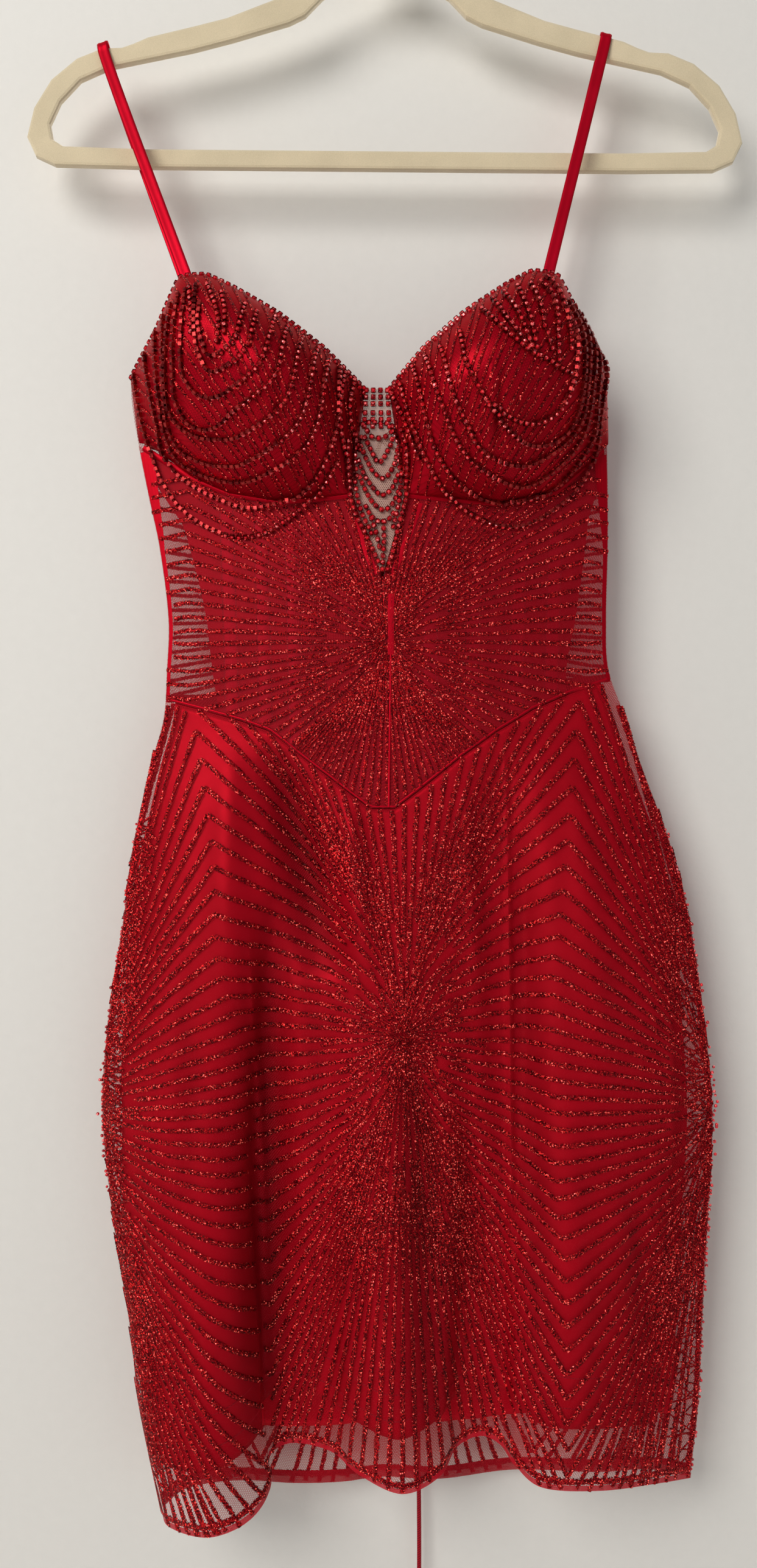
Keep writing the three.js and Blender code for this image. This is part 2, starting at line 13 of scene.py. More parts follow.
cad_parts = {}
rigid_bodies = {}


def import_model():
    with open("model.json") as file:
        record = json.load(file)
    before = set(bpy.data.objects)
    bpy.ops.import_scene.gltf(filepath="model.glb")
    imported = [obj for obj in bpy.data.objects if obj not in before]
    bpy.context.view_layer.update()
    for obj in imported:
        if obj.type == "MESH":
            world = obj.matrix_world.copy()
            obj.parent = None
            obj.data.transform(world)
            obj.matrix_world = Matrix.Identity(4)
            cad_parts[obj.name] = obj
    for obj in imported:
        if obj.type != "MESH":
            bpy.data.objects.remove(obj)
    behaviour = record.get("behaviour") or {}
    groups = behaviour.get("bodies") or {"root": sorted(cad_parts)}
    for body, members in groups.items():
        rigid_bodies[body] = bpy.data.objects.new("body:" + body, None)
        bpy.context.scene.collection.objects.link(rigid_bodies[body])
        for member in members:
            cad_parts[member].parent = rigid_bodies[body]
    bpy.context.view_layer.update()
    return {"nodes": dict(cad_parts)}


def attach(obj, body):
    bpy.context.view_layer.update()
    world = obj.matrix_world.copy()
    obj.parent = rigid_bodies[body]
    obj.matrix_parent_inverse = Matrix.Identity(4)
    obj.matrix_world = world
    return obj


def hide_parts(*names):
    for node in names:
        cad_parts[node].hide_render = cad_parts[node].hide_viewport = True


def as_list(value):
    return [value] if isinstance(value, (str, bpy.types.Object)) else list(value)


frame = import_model()
mm = 0.001


def mix(a, b, t):
    return a + (b - a) * t


def clamp(value, low=0.0, high=1.0):
    return min(max(value, low), high)


def stepAt(table, place):
    way = 1 if table[1][0] > table[0][0] else -1
    i = 0
    while i < len(table) - 2 and (table[i + 1][0] - place) * way < 0:
        i += 1
    return i


def straightAt(table, place, column=1):
    # the column's value at a place along the first column, on straight runs
    i = stepAt(table, place)
    a, b = table[i], table[i + 1]
    return mix(a[column], b[column], clamp((place - a[0]) / (b[0] - a[0])))


def smoothAt(table, place, column=1):
    # the same on a smooth curve through the rows
    i = stepAt(table, place)
    a, b = table[i], table[i + 1]
    before = table[i - 1] if i else a
    after = table[i + 2] if i + 2 < len(table) else b
    width = b[0] - a[0]
    t = clamp((place - a[0]) / width)
    slopeA = (b[column] - before[column]) / (b[0] - before[0]) * width
    slopeB = (after[column] - a[column]) / (after[0] - a[0]) * width
    rise = 3 * t * t - 2 * t**3
    return mix(a[column], b[column], rise) + slopeA * (t**3 - 2 * t * t + t) + slopeB * (t**3 - t * t)


room = {
    "camera": (-0.005, -0.750, -0.615),
    "lens": 27.59,
    "lampAim": (0, 0, -0.6),
    "wallY": 0.036,
    "floorZ": -1.21,
    "wallColour": (0.68, 0.67, 0.64, 1),
    "floorColour": (0.72, 0.70, 0.67, 1),
    "worldColour": (0.93, 0.96, 1.0, 1),
    "worldStrength": 0.27,
}
lamps = [
    {"name": "keyLamp", "place": (-1.15, -1.8, 0.4), "size": 1.3, "power": 46, "colour": (1, 0.97, 0.93)},
    {"name": "fillLamp", "place": (1.5, -1.5, -0.5), "size": 1.6, "power": 3, "colour": (0.93, 0.96, 1)},
    {"name": "backLamp", "place": (0.9, 1.8, 0.2), "size": 1.6, "power": 36, "colour": (1, 0.98, 0.95)},
]


def makeCamera():
    data = bpy.data.cameras.new("camera")
    data.lens = room["lens"]
    data.sensor_width = 36
    data.clip_start = 0.01
    camera = bpy.data.objects.new("camera", data)
    camera.location = room["camera"]
    camera.rotation_euler = (math.radians(90), 0, 0)
    bpy.context.collection.objects.link(camera)
    bpy.context.scene.camera = camera


makeCamera()
print("camera ready")


def addNode(tree, kind, feeds=None, **settings):
    # feeds: input name or number, to a socket that it is joined to or a value
    node = tree.nodes.new("ShaderNode" + kind)
    for key, value in settings.items():
        setattr(node, key, value)
    for key, value in (feeds or {}).items():
        if isinstance(value, bpy.types.NodeSocket):
            tree.links.new(value, node.inputs[key])
        else:
            node.inputs[key].default_value = value
    return node


def calc(tree, operation, a, b=0.0, c=0.0):
    return addNode(tree, "Math", {0: a, 1: b, 2: c}, operation=operation).outputs[0]


def vectorCalc(tree, operation, a, b=(0, 0, 0), c=(0, 0, 0), out=0):
    return addNode(tree, "VectorMath", {0: a, 1: b, 2: c}, operation=operation).outputs[out]


def blendColours(tree, factor, a, b, blend="MIX"):
    node = addNode(tree, "Mix", {0: factor, 6: a, 7: b}, data_type="RGBA", blend_type=blend)
    return node.outputs[2]


def fade(tree, value, low, high, toLow=0.0, toHigh=1.0):
    feeds = {"Value": value, "From Min": low, "From Max": high, "To Min": toLow, "To Max": toHigh}
    return addNode(tree, "MapRange", feeds).outputs["Result"]


def ramp(tree, value, stops):
    node = addNode(tree, "ValToRGB", {0: value})
    bar = node.color_ramp
    while len(bar.elements) < len(stops):
        bar.elements.new(0.5)
    for element, (place, colour) in zip(bar.elements, stops):
        element.position = place
        element.color = colour
    return node.outputs[0]


def noiseAt(tree, place, scale, detail=3.0, roughness=0.5):
    feeds = {"Vector": place, "Scale": scale, "Detail": detail, "Roughness": roughness}
    return addNode(tree, "TexNoise", feeds).outputs["Fac"]


def objectPlace(tree):
    return addNode(tree, "TexCoord").outputs["Object"]


def addBump(tree, shader, height, strength, distance):
    bump = addNode(tree, "Bump", {"Strength": strength, "Distance": distance, "Height": height})
    tree.links.new(bump.outputs[0], shader.inputs["Normal"])


def newMaterial(name, shaderValues):
    material = bpy.data.materials.new(name)
    material.use_nodes = True
    tree = material.node_tree
    shader = tree.nodes["Principled BSDF"]
    for key, value in shaderValues.items():
        shader.inputs[key].default_value = value
    return material, tree, shader


def newGroup(name, inputs, outputs):
    # inputs and outputs: socket name to its kind, or to its kind and start value
    group = bpy.data.node_groups.new(name, "ShaderNodeTree")
    for way, sockets in (("INPUT", inputs), ("OUTPUT", outputs)):
        for label, (kind, value) in sockets.items():
            socket = group.interface.new_socket(label, in_out=way, socket_type="NodeSocket" + kind)
            if value is not None:
                socket.default_value = value
    return group, group.nodes.new("NodeGroupInput").outputs, group.nodes.new("NodeGroupOutput").inputs


def useGroup(tree, group, feeds):
    return addNode(tree, "Group", feeds, node_tree=group).outputs


def hexNetGroup():
    # thread mask of a hexagonal net, on coordinates in metres
    group, given, made = newGroup(
        "hexNet",
        {"Place": ("Vector", None), "Cell": ("Float", 0.0017), "Thread": ("Float", 0.16)},
        {"Threads": ("Float", None)},
    )
    half = (0.5, math.sqrt(3) / 2, 0.5)
    less = tuple(-h for h in half)
    flat = vectorCalc(group, "MULTIPLY", given["Place"], (1, 1, 0))
    cell = addNode(group, "CombineXYZ", {i: given["Cell"] for i in range(3)}).outputs[0]
    scaled = vectorCalc(group, "DIVIDE", flat, cell)
    first = vectorCalc(group, "WRAP", scaled, half, less)
    second = vectorCalc(group, "WRAP", vectorCalc(group, "ADD", scaled, half), half, less)
    first, second = (vectorCalc(group, "MULTIPLY", centre, (1, 1, 0)) for centre in (first, second))
    toFirst, toSecond = (vectorCalc(group, "LENGTH", centre, out=1) for centre in (first, second))
    nearer = calc(group, "LESS_THAN", toFirst, toSecond)
    chosen = addNode(group, "Mix", {0: nearer, 4: second, 5: first}, data_type="VECTOR").outputs[1]
    corner = addNode(group, "SeparateXYZ", {0: vectorCalc(group, "ABSOLUTE", chosen)}).outputs
    slantX, slantY = (calc(group, "MULTIPLY", corner[i], share) for i, share in ((0, 0.5), (1, half[1])))
    slant = calc(group, "ADD", slantX, slantY)
    edge = calc(group, "SUBTRACT", 0.5, calc(group, "MAXIMUM", corner[0], slant))
    threads = calc(group, "SUBTRACT", 1.0, calc(group, "DIVIDE", edge, given["Thread"]))
    group.links.new(fade(group, threads, 0.35, 0.65), made["Threads"])
    return group


def flakesGroup():
    # loose glitter: each flake has its own shade and tilt, a few flakes are picked for a painted glint, and
    # the edge of a line is ragged
    group, given, made = newGroup(
        "flakes",
        {
            "Place": ("Vector", None),
            "Size": ("Float", 0.0008),
            "Across": ("Float", 0.5),
            "Tilt": ("Float", 0.9),
        },
        {
            "Shade": ("Float", None),
            "Glint": ("Float", None),
            "Cover": ("Float", None),
            "Normal": ("Vector", None),
        },
    )
    scale = calc(group, "DIVIDE", 1.0, given["Size"])
    cells = addNode(group, "TexVoronoi", {"Vector": given["Place"], "Scale": scale}, feature="F1")
    parts = addNode(group, "SeparateColor", {0: cells.outputs["Color"]}).outputs
    offEdge = calc(group, "ABSOLUTE", calc(group, "SUBTRACT", given["Across"], 0.5))
    reach = fade(group, parts[2], 0.0, 1.0, 0.3, 0.54)
    group.links.new(parts[0], made["Shade"])
    group.links.new(calc(group, "GREATER_THAN", parts[1], 0.955), made["Glint"])
    group.links.new(calc(group, "LESS_THAN", offEdge, reach), made["Cover"])
    lean = vectorCalc(group, "SUBTRACT", cells.outputs["Color"], (0.5, 0.5, 0.5))
    lean = vectorCalc(group, "SCALE", lean)
    group.links.new(given["Tilt"], lean.node.inputs["Scale"])
    normal = addNode(group, "NewGeometry").outputs["Normal"]
    group.links.new(vectorCalc(group, "NORMALIZE", vectorCalc(group, "ADD", normal, lean)), made["Normal"])
    return group


def weaveGroup():
    # fine crossing threads for satin and tape, as a height
    group, given, made = newGroup(
        "weave",
        {"Place": ("Vector", None), "Threads": ("Float", 1600.0)},
        {"Height": ("Float", None), "Cloud": ("Float", None)},
    )
    scaled = vectorCalc(group, "SCALE", given["Place"])
    group.links.new(given["Threads"], scaled.node.inputs["Scale"])
    across, down = (
        addNode(group, "TexWave", {"Vector": scaled, "Scale": scale, "Distortion": 0.6}, bands_direction=way)
        for way, scale in (("X", 1.0), ("Y", 0.32))
    )
    across, down = (
        calc(group, "MULTIPLY", wave.outputs["Fac"], share) for wave, share in ((across, 0.7), (down, 0.3))
    )
    height = calc(group, "ADD", across, down)
    group.links.new(noiseAt(group, given["Place"], 26.0, 4.0, 0.6), made["Cloud"])
    group.links.new(height, made["Height"])
    return group


groups = {"hexNet": hexNetGroup(), "flakes": flakesGroup(), "weave": weaveGroup()}


def inTrough(tree, colour, depth):
    # less light reaches the bottom of a fold
    trough = addNode(tree, "Attribute", attribute_name="trough").outputs["Fac"]
    darkest = (0.12, 0.1, 0.12, 1)
    return blendColours(tree, calc(tree, "MULTIPLY", trough, depth), colour, darkest, "MULTIPLY")


def satin(name, light, dark, roughness, netted=0.0):
    # netted: how strongly the threads of a net that lies flat on the satin show
    shine = {"Metallic": 0.5, "Specular IOR Level": 0.1, "Specular Tint": (1, 0.3, 0.3, 1)}
    material, tree, shader = newMaterial(name, {"Roughness": roughness, **shine})
    place = addNode(tree, "UVMap").outputs[0]
    weave = useGroup(tree, groups["weave"], {"Place": place})
    colour = blendColours(tree, fade(tree, weave["Cloud"], 0.3, 0.7), dark, light)
    if netted:
        threadMask = useGroup(tree, groups["hexNet"], {"Place": place, "Thread": 0.2})["Threads"]
        threadColour = tuple(0.45 * c for c in dark[:3]) + (1,)
        colour = blendColours(tree, calc(tree, "MULTIPLY", threadMask, netted), colour, threadColour)
    tree.links.new(inTrough(tree, colour, 0.9), shader.inputs["Base Color"])
    addBump(tree, shader, weave["Height"], 0.12, 0.0002)
    return material


def sheerNet(name, colour, thread=0.16, haze=0.14):
    # haze: how much the open cells cover
    dull = {"Roughness": 0.6, "Specular IOR Level": 0.1}
    material, tree, shader = newMaterial(name, {"Base Color": colour, **dull})
    feeds = {"Place": addNode(tree, "UVMap").outputs[0], "Cell": 0.0012, "Thread": thread}
    threads = useGroup(tree, groups["hexNet"], feeds)["Threads"]
    tree.links.new(fade(tree, threads, 0.0, 1.0, haze, 1.0), shader.inputs["Alpha"])
    return material


def glitter(name, size, stops):
    shine = {"Roughness": 0.32, "Metallic": 0.4, "Specular IOR Level": 0.25, "Emission Strength": 0.6}
    material, tree, shader = newMaterial(name, {"Specular Tint": (1, 0.25, 0.2, 1), **shine})
    uv = addNode(tree, "SeparateXYZ", {0: addNode(tree, "UVMap").outputs[0]}).outputs
    flakes = useGroup(tree, groups["flakes"], {"Place": objectPlace(tree), "Size": size, "Across": uv[1]})
    colour = ramp(tree, flakes["Shade"], stops)
    # a few flakes get a painted glint: a bright red colour here, and a painted glow of emission below
    colour = blendColours(tree, flakes["Glint"], colour, (0.9, 0.1, 0.09, 1))
    tree.links.new(inTrough(tree, colour, 0.7), shader.inputs["Base Color"])
    tree.links.new(flakes["Cover"], shader.inputs["Alpha"])
    tree.links.new(flakes["Normal"], shader.inputs["Normal"])
    # painted glint: these flakes glow as if lit, though they are no lamp
    paintedGlintGlow = blendColours(tree, flakes["Glint"], (0, 0, 0, 1), (1.0, 0.14, 0.1, 1))
    tree.links.new(paintedGlintGlow, shader.inputs["Emission Color"])
    return material


def gemGlass(name, stops):
    # red stone with a foil behind it: each facet is painted at random with light and shade, from a dark red
    # shade to a pale pink highlight, and the same colour glows a little as painted light
    shine = {"Metallic": 0.2, "Coat Weight": 0.5, "Coat Roughness": 0.03, "Emission Strength": 0.12}
    material, tree, shader = newMaterial(name, {"Roughness": 0.12, **shine})
    feeds = {"Vector": objectPlace(tree), "Scale": 900.0}
    facets = addNode(tree, "TexVoronoi", feeds, feature="F1").outputs["Color"]
    colour = ramp(tree, addNode(tree, "SeparateColor", {0: facets}).outputs[0], stops)
    tree.links.new(colour, shader.inputs["Base Color"])
    # painted glow: the stone shines with its own colour, though it is no lamp
    tree.links.new(colour, shader.inputs["Emission Color"])
    return material


def redCopper(name, light, dark):
    material, tree, shader = newMaterial(name, {"Metallic": 0.9})
    wear = noiseAt(tree, objectPlace(tree), 260.0, 4.0)
    colour = blendColours(tree, fade(tree, wear, 0.4, 0.65), dark, light)
    tree.links.new(colour, shader.inputs["Base Color"])
    tree.links.new(fade(tree, wear, 0.3, 0.7, 0.2, 0.42), shader.inputs["Roughness"])
    return material


def velvet(name, light, dark):
    sheen = {"Sheen Weight": 0.9, "Sheen Roughness": 0.5, "Sheen Tint": (1, 0.95, 0.82, 1)}
    material, tree, shader = newMaterial(name, {"Roughness": 0.95, **sheen})
    place = objectPlace(tree)
    pile, patches = (noiseAt(tree, place, scale) for scale in (2400.0, 34.0))
    tone = calc(tree, "ADD", calc(tree, "MULTIPLY", pile, 0.6), calc(tree, "MULTIPLY", patches, 0.4))
    tree.links.new(blendColours(tree, fade(tree, tone, 0.35, 0.65), dark, light), shader.inputs["Base Color"])
    addBump(tree, shader, pile, 0.5, 0.0004)
    return material


def polishedSteel(name, colour):
    material, tree, shader = newMaterial(name, {"Base Color": colour, "Metallic": 1.0})
    marks = noiseAt(tree, objectPlace(tree), 420.0, 5.0)
    tree.links.new(fade(tree, marks, 0.3, 0.7, 0.12, 0.28), shader.inputs["Roughness"])
    return material


def cordSatin(name, light, dark):
    # round braid: slanted strands on the cord's own coordinates
    shine = {"Metallic": 0.3, "Specular IOR Level": 0.15}
    material, tree, shader = newMaterial(name, {"Roughness": 0.42, **shine})
    lean = (0, math.radians(35), 0)
    turned = addNode(tree, "Mapping", {"Vector": objectPlace(tree), "Rotation": lean}).outputs[0]
    feeds = {"Vector": turned, "Scale": 260.0, "Distortion": 0.4}
    strands = addNode(tree, "TexWave", feeds, bands_direction="Z").outputs["Fac"]
    tree.links.new(blendColours(tree, strands, dark, light), shader.inputs["Base Color"])
    addBump(tree, shader, strands, 0.5, 0.0003)
    return material


glitterShades = [
    (0.0, (0.014, 0.0, 0.001, 1)),
    (0.4, (0.1, 0.001, 0.004, 1)),
    (0.75, (0.33, 0.002, 0.008, 1)),
    (1.0, (0.85, 0.025, 0.024, 1)),
]
# painted light on the stones' facets: dark red painted shade up to pale pink painted highlights
paintedFacetLight = [
    (0.0, (0.1, 0.0, 0.003, 1)),
    (0.4, (0.42, 0.003, 0.01, 1)),
    (0.8, (0.76, 0.01, 0.02, 1)),
    (1.0, (1.0, 0.24, 0.24, 1)),
]
finishes = {
    "skirtSatin": (satin, (0.57, 0.002, 0.015, 1), (0.42, 0.001, 0.01, 1), 0.42),
    "bodiceSatin": (satin, (0.38, 0.001, 0.009, 1), (0.22, 0.001, 0.006, 1), 0.4),
    "strapSatin": (satin, (0.5, 0.003, 0.018, 1), (0.38, 0.002, 0.012, 1), 0.38),
    "boneSatin": (satin, (0.46, 0.003, 0.014, 1), (0.36, 0.002, 0.01, 1), 0.38),
    "cupSatin": (satin, (0.42, 0.002, 0.012, 1), (0.28, 0.002, 0.008, 1), 0.36, 0.6),
    "net": (sheerNet, (0.36, 0.002, 0.009, 1)),
    "bodiceNet": (sheerNet, (0.3, 0.003, 0.01, 1), 0.16, 0.3),
    "netHem": (sheerNet, (0.42, 0.003, 0.014, 1), 0.3, 0.75),
    "insertMesh": (sheerNet, (0.54, 0.34, 0.28, 1), 0.26, 0.3),
    "glitter": (glitter, 0.0006, glitterShades),
    "gem": (gemGlass, paintedFacetLight),
    "copper": (redCopper, (0.42, 0.032, 0.03, 1), (0.12, 0.004, 0.006, 1)),
    "velvet": (velvet, (0.63, 0.53, 0.36, 1), (0.5, 0.42, 0.28, 1)),
    "steel": (polishedSteel, (0.72, 0.72, 0.74, 1)),
    "cord": (cordSatin, (0.38, 0.003, 0.015, 1), (0.17, 0.001, 0.007, 1)),
}
materials = {name: finish(name, *values) for name, (finish, *values) in finishes.items()}
print("materials ready")


def addPiece(name, made, material, slot, replaced=(), smooth=True):
    # made: a bmesh in metres or a curve
    if isinstance(made, bmesh.types.BMesh):
        data = bpy.data.meshes.new(name)
        for face in made.faces:
            face.smooth = smooth
        made.to_mesh(data)
        made.free()
    else:
        data = made
    data.materials.append(materials[material])
    piece = bpy.data.objects.new(name, data)
    bpy.context.collection.objects.link(piece)
    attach(piece, "root")
    if replaced:
        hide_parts(*replaced)
    return piece


def thicken(piece, thickness, side=-1):
    wall = piece.modifiers.new("thickness", "SOLIDIFY")
    wall.thickness = thickness
    wall.offset = side


def clothGrid(at, columns, rows, facing, shift=0.0, down=(0.0, 1.0), shade=None):
    # a grid of cloth whose corners follow at(u, v) in millimetres, with its UV map in metres along the cloth
    cloth = bmesh.new()
    trough = cloth.verts.layers.float.new("trough")
    bmesh.ops.create_grid(cloth, x_segments=columns, y_segments=rows, size=0.5)
    corners = {}
    for corner in cloth.verts:
        i, j = round((corner.co.x + 0.5) * columns), round((0.5 - corner.co.y) * rows)
        place = at(i / columns, mix(*down, j / rows))
        if shade:
            corner[trough] = shade(place.x, place.z)
        corner.co = place * mm
        corners[i, j] = corner
    cloth.normal_update()
    if sum(face.normal.y for face in cloth.faces) * facing < 0:
        bmesh.ops.reverse_faces(cloth, faces=cloth.faces)
        cloth.normal_update()
    if shift:
        moves = {corner: corner.normal * (shift * mm) for corner in cloth.verts}
        for corner, move in moves.items():
            corner.co += move
    spot = {}
    middle = columns // 2
    for j in range(rows + 1):
        spot[corners[middle, j]] = [0.0, 0.0]
        for way in (1, -1):
            i = middle + way
            while 0 <= i <= columns:
                last = corners[i - way, j]
                spot[corners[i, j]] = [spot[last][0] + way * (corners[i, j].co - last.co).length, 0.0]
                i += way
    for i in range(columns + 1):
        for j in range(1, rows + 1):
            here, above = corners[i, j], corners[i, j - 1]
            spot[here][1] = spot[above][1] - (here.co - above.co).length
    uvMap = cloth.loops.layers.uv.new("UVMap")
    for face in cloth.faces:
        for loop in face.loops:
            loop[uvMap].uv = spot[loop.vert]
    return cloth


# the dress level by level: height, left and right seam, how far the cloth stands out in front and behind
sections = [
    (-350, -160, 136, 16, 11), (-376, -159, 137, 17, 12), (-407, -154, 137.5, 16, 13),
    (-437, -148, 138, 16, 13), (-468, -141.5, 138, 15, 13), (-513, -136, 137, 15, 12),
    (-544, -137, 138.5, 15, 12), (-574, -139, 149, 16, 13), (-604, -147, 159, 18, 14),
    (-650, -157, 176, 22, 17), (-696, -163, 188, 24, 19), (-756, -172, 197, 25, 20),
    (-817, -176, 203, 25, 20), (-878, -170, 200.5, 25, 20), (-939, -160, 197, 24, 19),
    (-1000, -152, 194, 24, 18), (-1070, -136, 186, 24, 18),
]
waistSeam = [
    (0, -563), (0.082, -569), (0.17, -576), (0.236, -582.5), (0.27, -589.5), (0.363, -610), (0.445, -630),
    (0.49, -630), (0.55, -616.5), (0.63, -598.5), (0.713, -582.5), (0.8, -569), (0.893, -559), (1, -550),
]
bodiceTop = [
    (0, -404), (0.106, -427), (0.18, -437), (0.283, -442.5), (0.375, -441), (0.443, -439), (0.4916, -491),
    (0.557, -439), (0.64, -441), (0.761, -443.5), (0.884, -435), (0.96, -416), (1, -404),
]
# folds from the left seam to the right one: place along the waist, then x, y and z at the hem
frontFolds = [
    (0, -138.5, -6, -1063), (0.06, -131, -26, -1062), (0.12, -104, -46, -1056), (0.19, -80, -42, -1048),
    (0.25, -70, -28, -1038), (0.29, -72, -14, -1028), (0.327, -57, -8, -1022), (0.385, -34, -11, -1025),
    (0.43, -17, -25, -1031), (0.5, 9, -35, -1037), (0.58, 32, -27, -1031), (0.65, 43, -12, -1022),
    (0.6965, 58, -8, -1017), (0.72, 70, -13, -1020), (0.745, 77, -25, -1025), (0.79, 92, -37, -1032),
    (0.86, 128, -30, -1038), (0.94, 165, -14, -1043), (1, 189, -1, -1047),
]
backFolds = [
    (0, -138.5, -6, -1063), (0.07, -126, 10, -1061), (0.16, -96, 19, -1061), (0.28, -58, 9, -1057),
    (0.37, -28, 14, -1059), (0.46, -2, 23, -1061), (0.56, 34, 12, -1056), (0.7, 82, 24, -1057),
    (0.84, 132, 9, -1050), (0.93, 166, 12, -1050), (1, 189, -1, -1047),
]
# cups from the insert to the side seam: place, top edge x and z, x on the wire line, stand of the top edge
leftCup = [
    (0, -14, -374, -22, 0), (0.2, -38, -353, -40, 8), (0.4, -64, -335.5, -66, 16),
    (0.58, -92, -320, -92, 21), (0.66, -107, -312.5, -104, 22), (0.72, -123, -312.5, -116, 22),
    (0.86, -140, -340, -136, 12), (1, -158.5, -362, -153.5, 0),
]
rightCup = [
    (0, 2, -374, 12.5, 0), (0.2, 22, -353, 33, 8), (0.4, 45, -335, 58, 16), (0.58, 70, -319, 80, 21),
    (0.66, 86, -310, 93, 22), (0.72, 101, -311, 105, 22), (0.86, 119, -335, 122, 12),
    (1, 136, -356, 137.5, 0),
]
insertEdges = [(-374, -14, 2), (-439, -21, 11.5), (-466, -10.6, 4.4), (-484, -5.1, -0.9)]
# the linings' side edges: share of the way down, then left and right as shares of the net's width
skirtLiningEdges = [
    (0, 0.03, 0.965), (0.3, 0.024, 0.972), (0.4, 0.04, 0.952), (0.52, 0.055, 0.945), (0.66, 0.03, 0.942),
    (1, 0.022, 0.94),
]
bodiceLiningEdges = [
    (0, 0.004, 0.996), (0.12, 0.014, 0.987), (0.24, 0.05, 0.96), (0.7, 0.082, 0.935), (1, 0.11, 0.91),
]
shape = {
    "halfSeam": 0.7,
    "seamGap": 0.4,
    "cupSeamGap": 1.3,
    "insertGap": 0.6,
    "insertTop": -374,
    "insertLow": -484,
    "cupDepth": 47,
    "wireZ": -436,
    "backWaist": (-563, -550),
    "backWaistDip": 5,
    "backTop": -362,
    "openingTop": (-366, 17),  # height and half width of the laced opening
    "openingLow": (-557, 10),
    "liningIn": -1.6,  # how far the linings lie behind the net
    "liningDown": 0.925,  # the skirt's lining ends at this share of the net's length
    "creaseDark": 10,  # a trough of this depth is as dark as troughs get
}

# soft troughs and ridges that the cloth takes besides its folds: both ends as x and z, width, height outwards
frontCreases = [
    (-69, -586, -38, -735, 15, -10), (-70, -680, -78, -1050, 15, -10), (-98, -590, -90, -780, 14, 6),
    (-110, -800, -100, -1050, 12, 3.5), (-22, -616, -12, -740, 9, 5), (-52, -716, -48, -900, 10, 2.4),
    (18, -760, 26, -1030, 14, -7), (-14, -800, -6, -1000, 9, 3.4), (46, -618, 66, -880, 8, 3.4),
    (70, -590, 78, -1040, 2.6, 2.6), (86, -640, 92, -1010, 9, -4.2), (-82, -700, -74, -1050, 2.4, 2),
    (-120, -720, -112, -960, 10, -2.4), (118, -600, 128, -800, 12, 3.5), (150, -850, 158, -1010, 9, -2.4),
    (-140, -850, -128, -1040, 7, 2.0), (110, -800, 122, -1000, 9, 2.4),
]
cupCreases = [
    (57.6, -376, 60, -426, 2.4, 2.4), (66, -378, 67, -428, 3, -2.6), (-76, -382, -68, -408, 2.4, 2),
    (-84, -360, -80, -402, 3, -1.6), (-58, -372, -66, -420, 3.2, -1.8), (-104, -352, -100, -400, 3, -1.6),
    (44, -384, 48, -430, 3, -1.6), (88, -340, 88, -398, 3, 1.4), (104, -346, 106, -404, 3.2, -1.6),
    (-120, -350, -118, -396, 3, 1.3),
]
backCreases = [
    (-84, -575, -90, -800, 10, -3.2), (-40, -572, -30, -760, 8, 2.6), (14, -575, 22, -840, 9, -3.4),
    (60, -570, 74, -730, 7, 2.4), (104, -565, 128, -850, 11, -3.0), (-128, -640, -136, -900, 9, 2.0),
    (-8, -820, 6, -1040, 8, 2.4), (54, -860, 60, -1040, 7, -2.2), (150, -760, 160, -1000, 9, 2.0),
]


def troughAt(creases, x, z):
    return clamp(-creaseAt(creases, x, z) / shape["creaseDark"])


@lru_cache(maxsize=None)
def sectionAt(z):
    return tuple(smoothAt(sections, z, column) for column in (1, 2, 3, 4))


def bodyPoint(across, z, facing):
    left, right, front, back = sectionAt(z)
    depth = (front if facing < 0 else back) * (1 - (2 * across - 1) ** 2)
    return Vector((mix(left, right, across), facing * (depth + shape["halfSeam"]), z))


def acrossAt(x, z):
    left, right = sectionAt(z)[:2]
    return (x - left) / (right - left)


@lru_cache(maxsize=None)
def foldAt(facing, u):
    folds = frontFolds if facing < 0 else backFolds
    table = [(i / (len(folds) - 1), *fold) for i, fold in enumerate(folds)]
    waist, hemX, hemY, hemZ = (smoothAt(table, u, column) for column in (1, 2, 3, 4))
    return waist, acrossAt(hemX, hemZ), hemY, hemZ


def backWaistZ(across):
    return mix(*shape["backWaist"], across) - shape["backWaistDip"] * (1 - (2 * across - 1) ** 2)


def creaseAt(creases, x, z):
    out = 0.0
    for x0, z0, x1, z1, width, height in creases:
        s = (z0 - z) / (z0 - z1)
        if -0.05 < s < 1.05:
            lane = mix(x0, x1, s) + 2.5 * math.sin(3.1 * s + x0)
            off = (x - lane) / (width * mix(0.7, 1.15, clamp(s)))
            if abs(off) < 3:
                out += height * math.exp(-off * off) * math.sin(math.pi * clamp(s)) ** 0.6
    return out


def skirtPoint(facing, u, v):
    waist, hemAcross, hemY, hemZ = foldAt(facing, round(u, 5))
    seamZ = straightAt(waistSeam, waist) if facing < 0 else backWaistZ(waist) - shape["seamGap"] / 2
    z = mix(seamZ - shape["seamGap"] / 2, hemZ, v)
    point = bodyPoint(mix(waist, hemAcross, v), z, facing)
    start = clamp((v + 0.02) / 0.14)
    gather = max(v, 0) ** 0.75 * start * start * (3 - 2 * start)
    point.y = mix(point.y, hemY + facing * shape["halfSeam"], gather)
    edge = clamp(min(u, 1 - u) / 0.06) * clamp(v / 0.05)
    point.y += facing * edge * creaseAt(frontCreases if facing < 0 else backCreases, point.x, z)
    return point


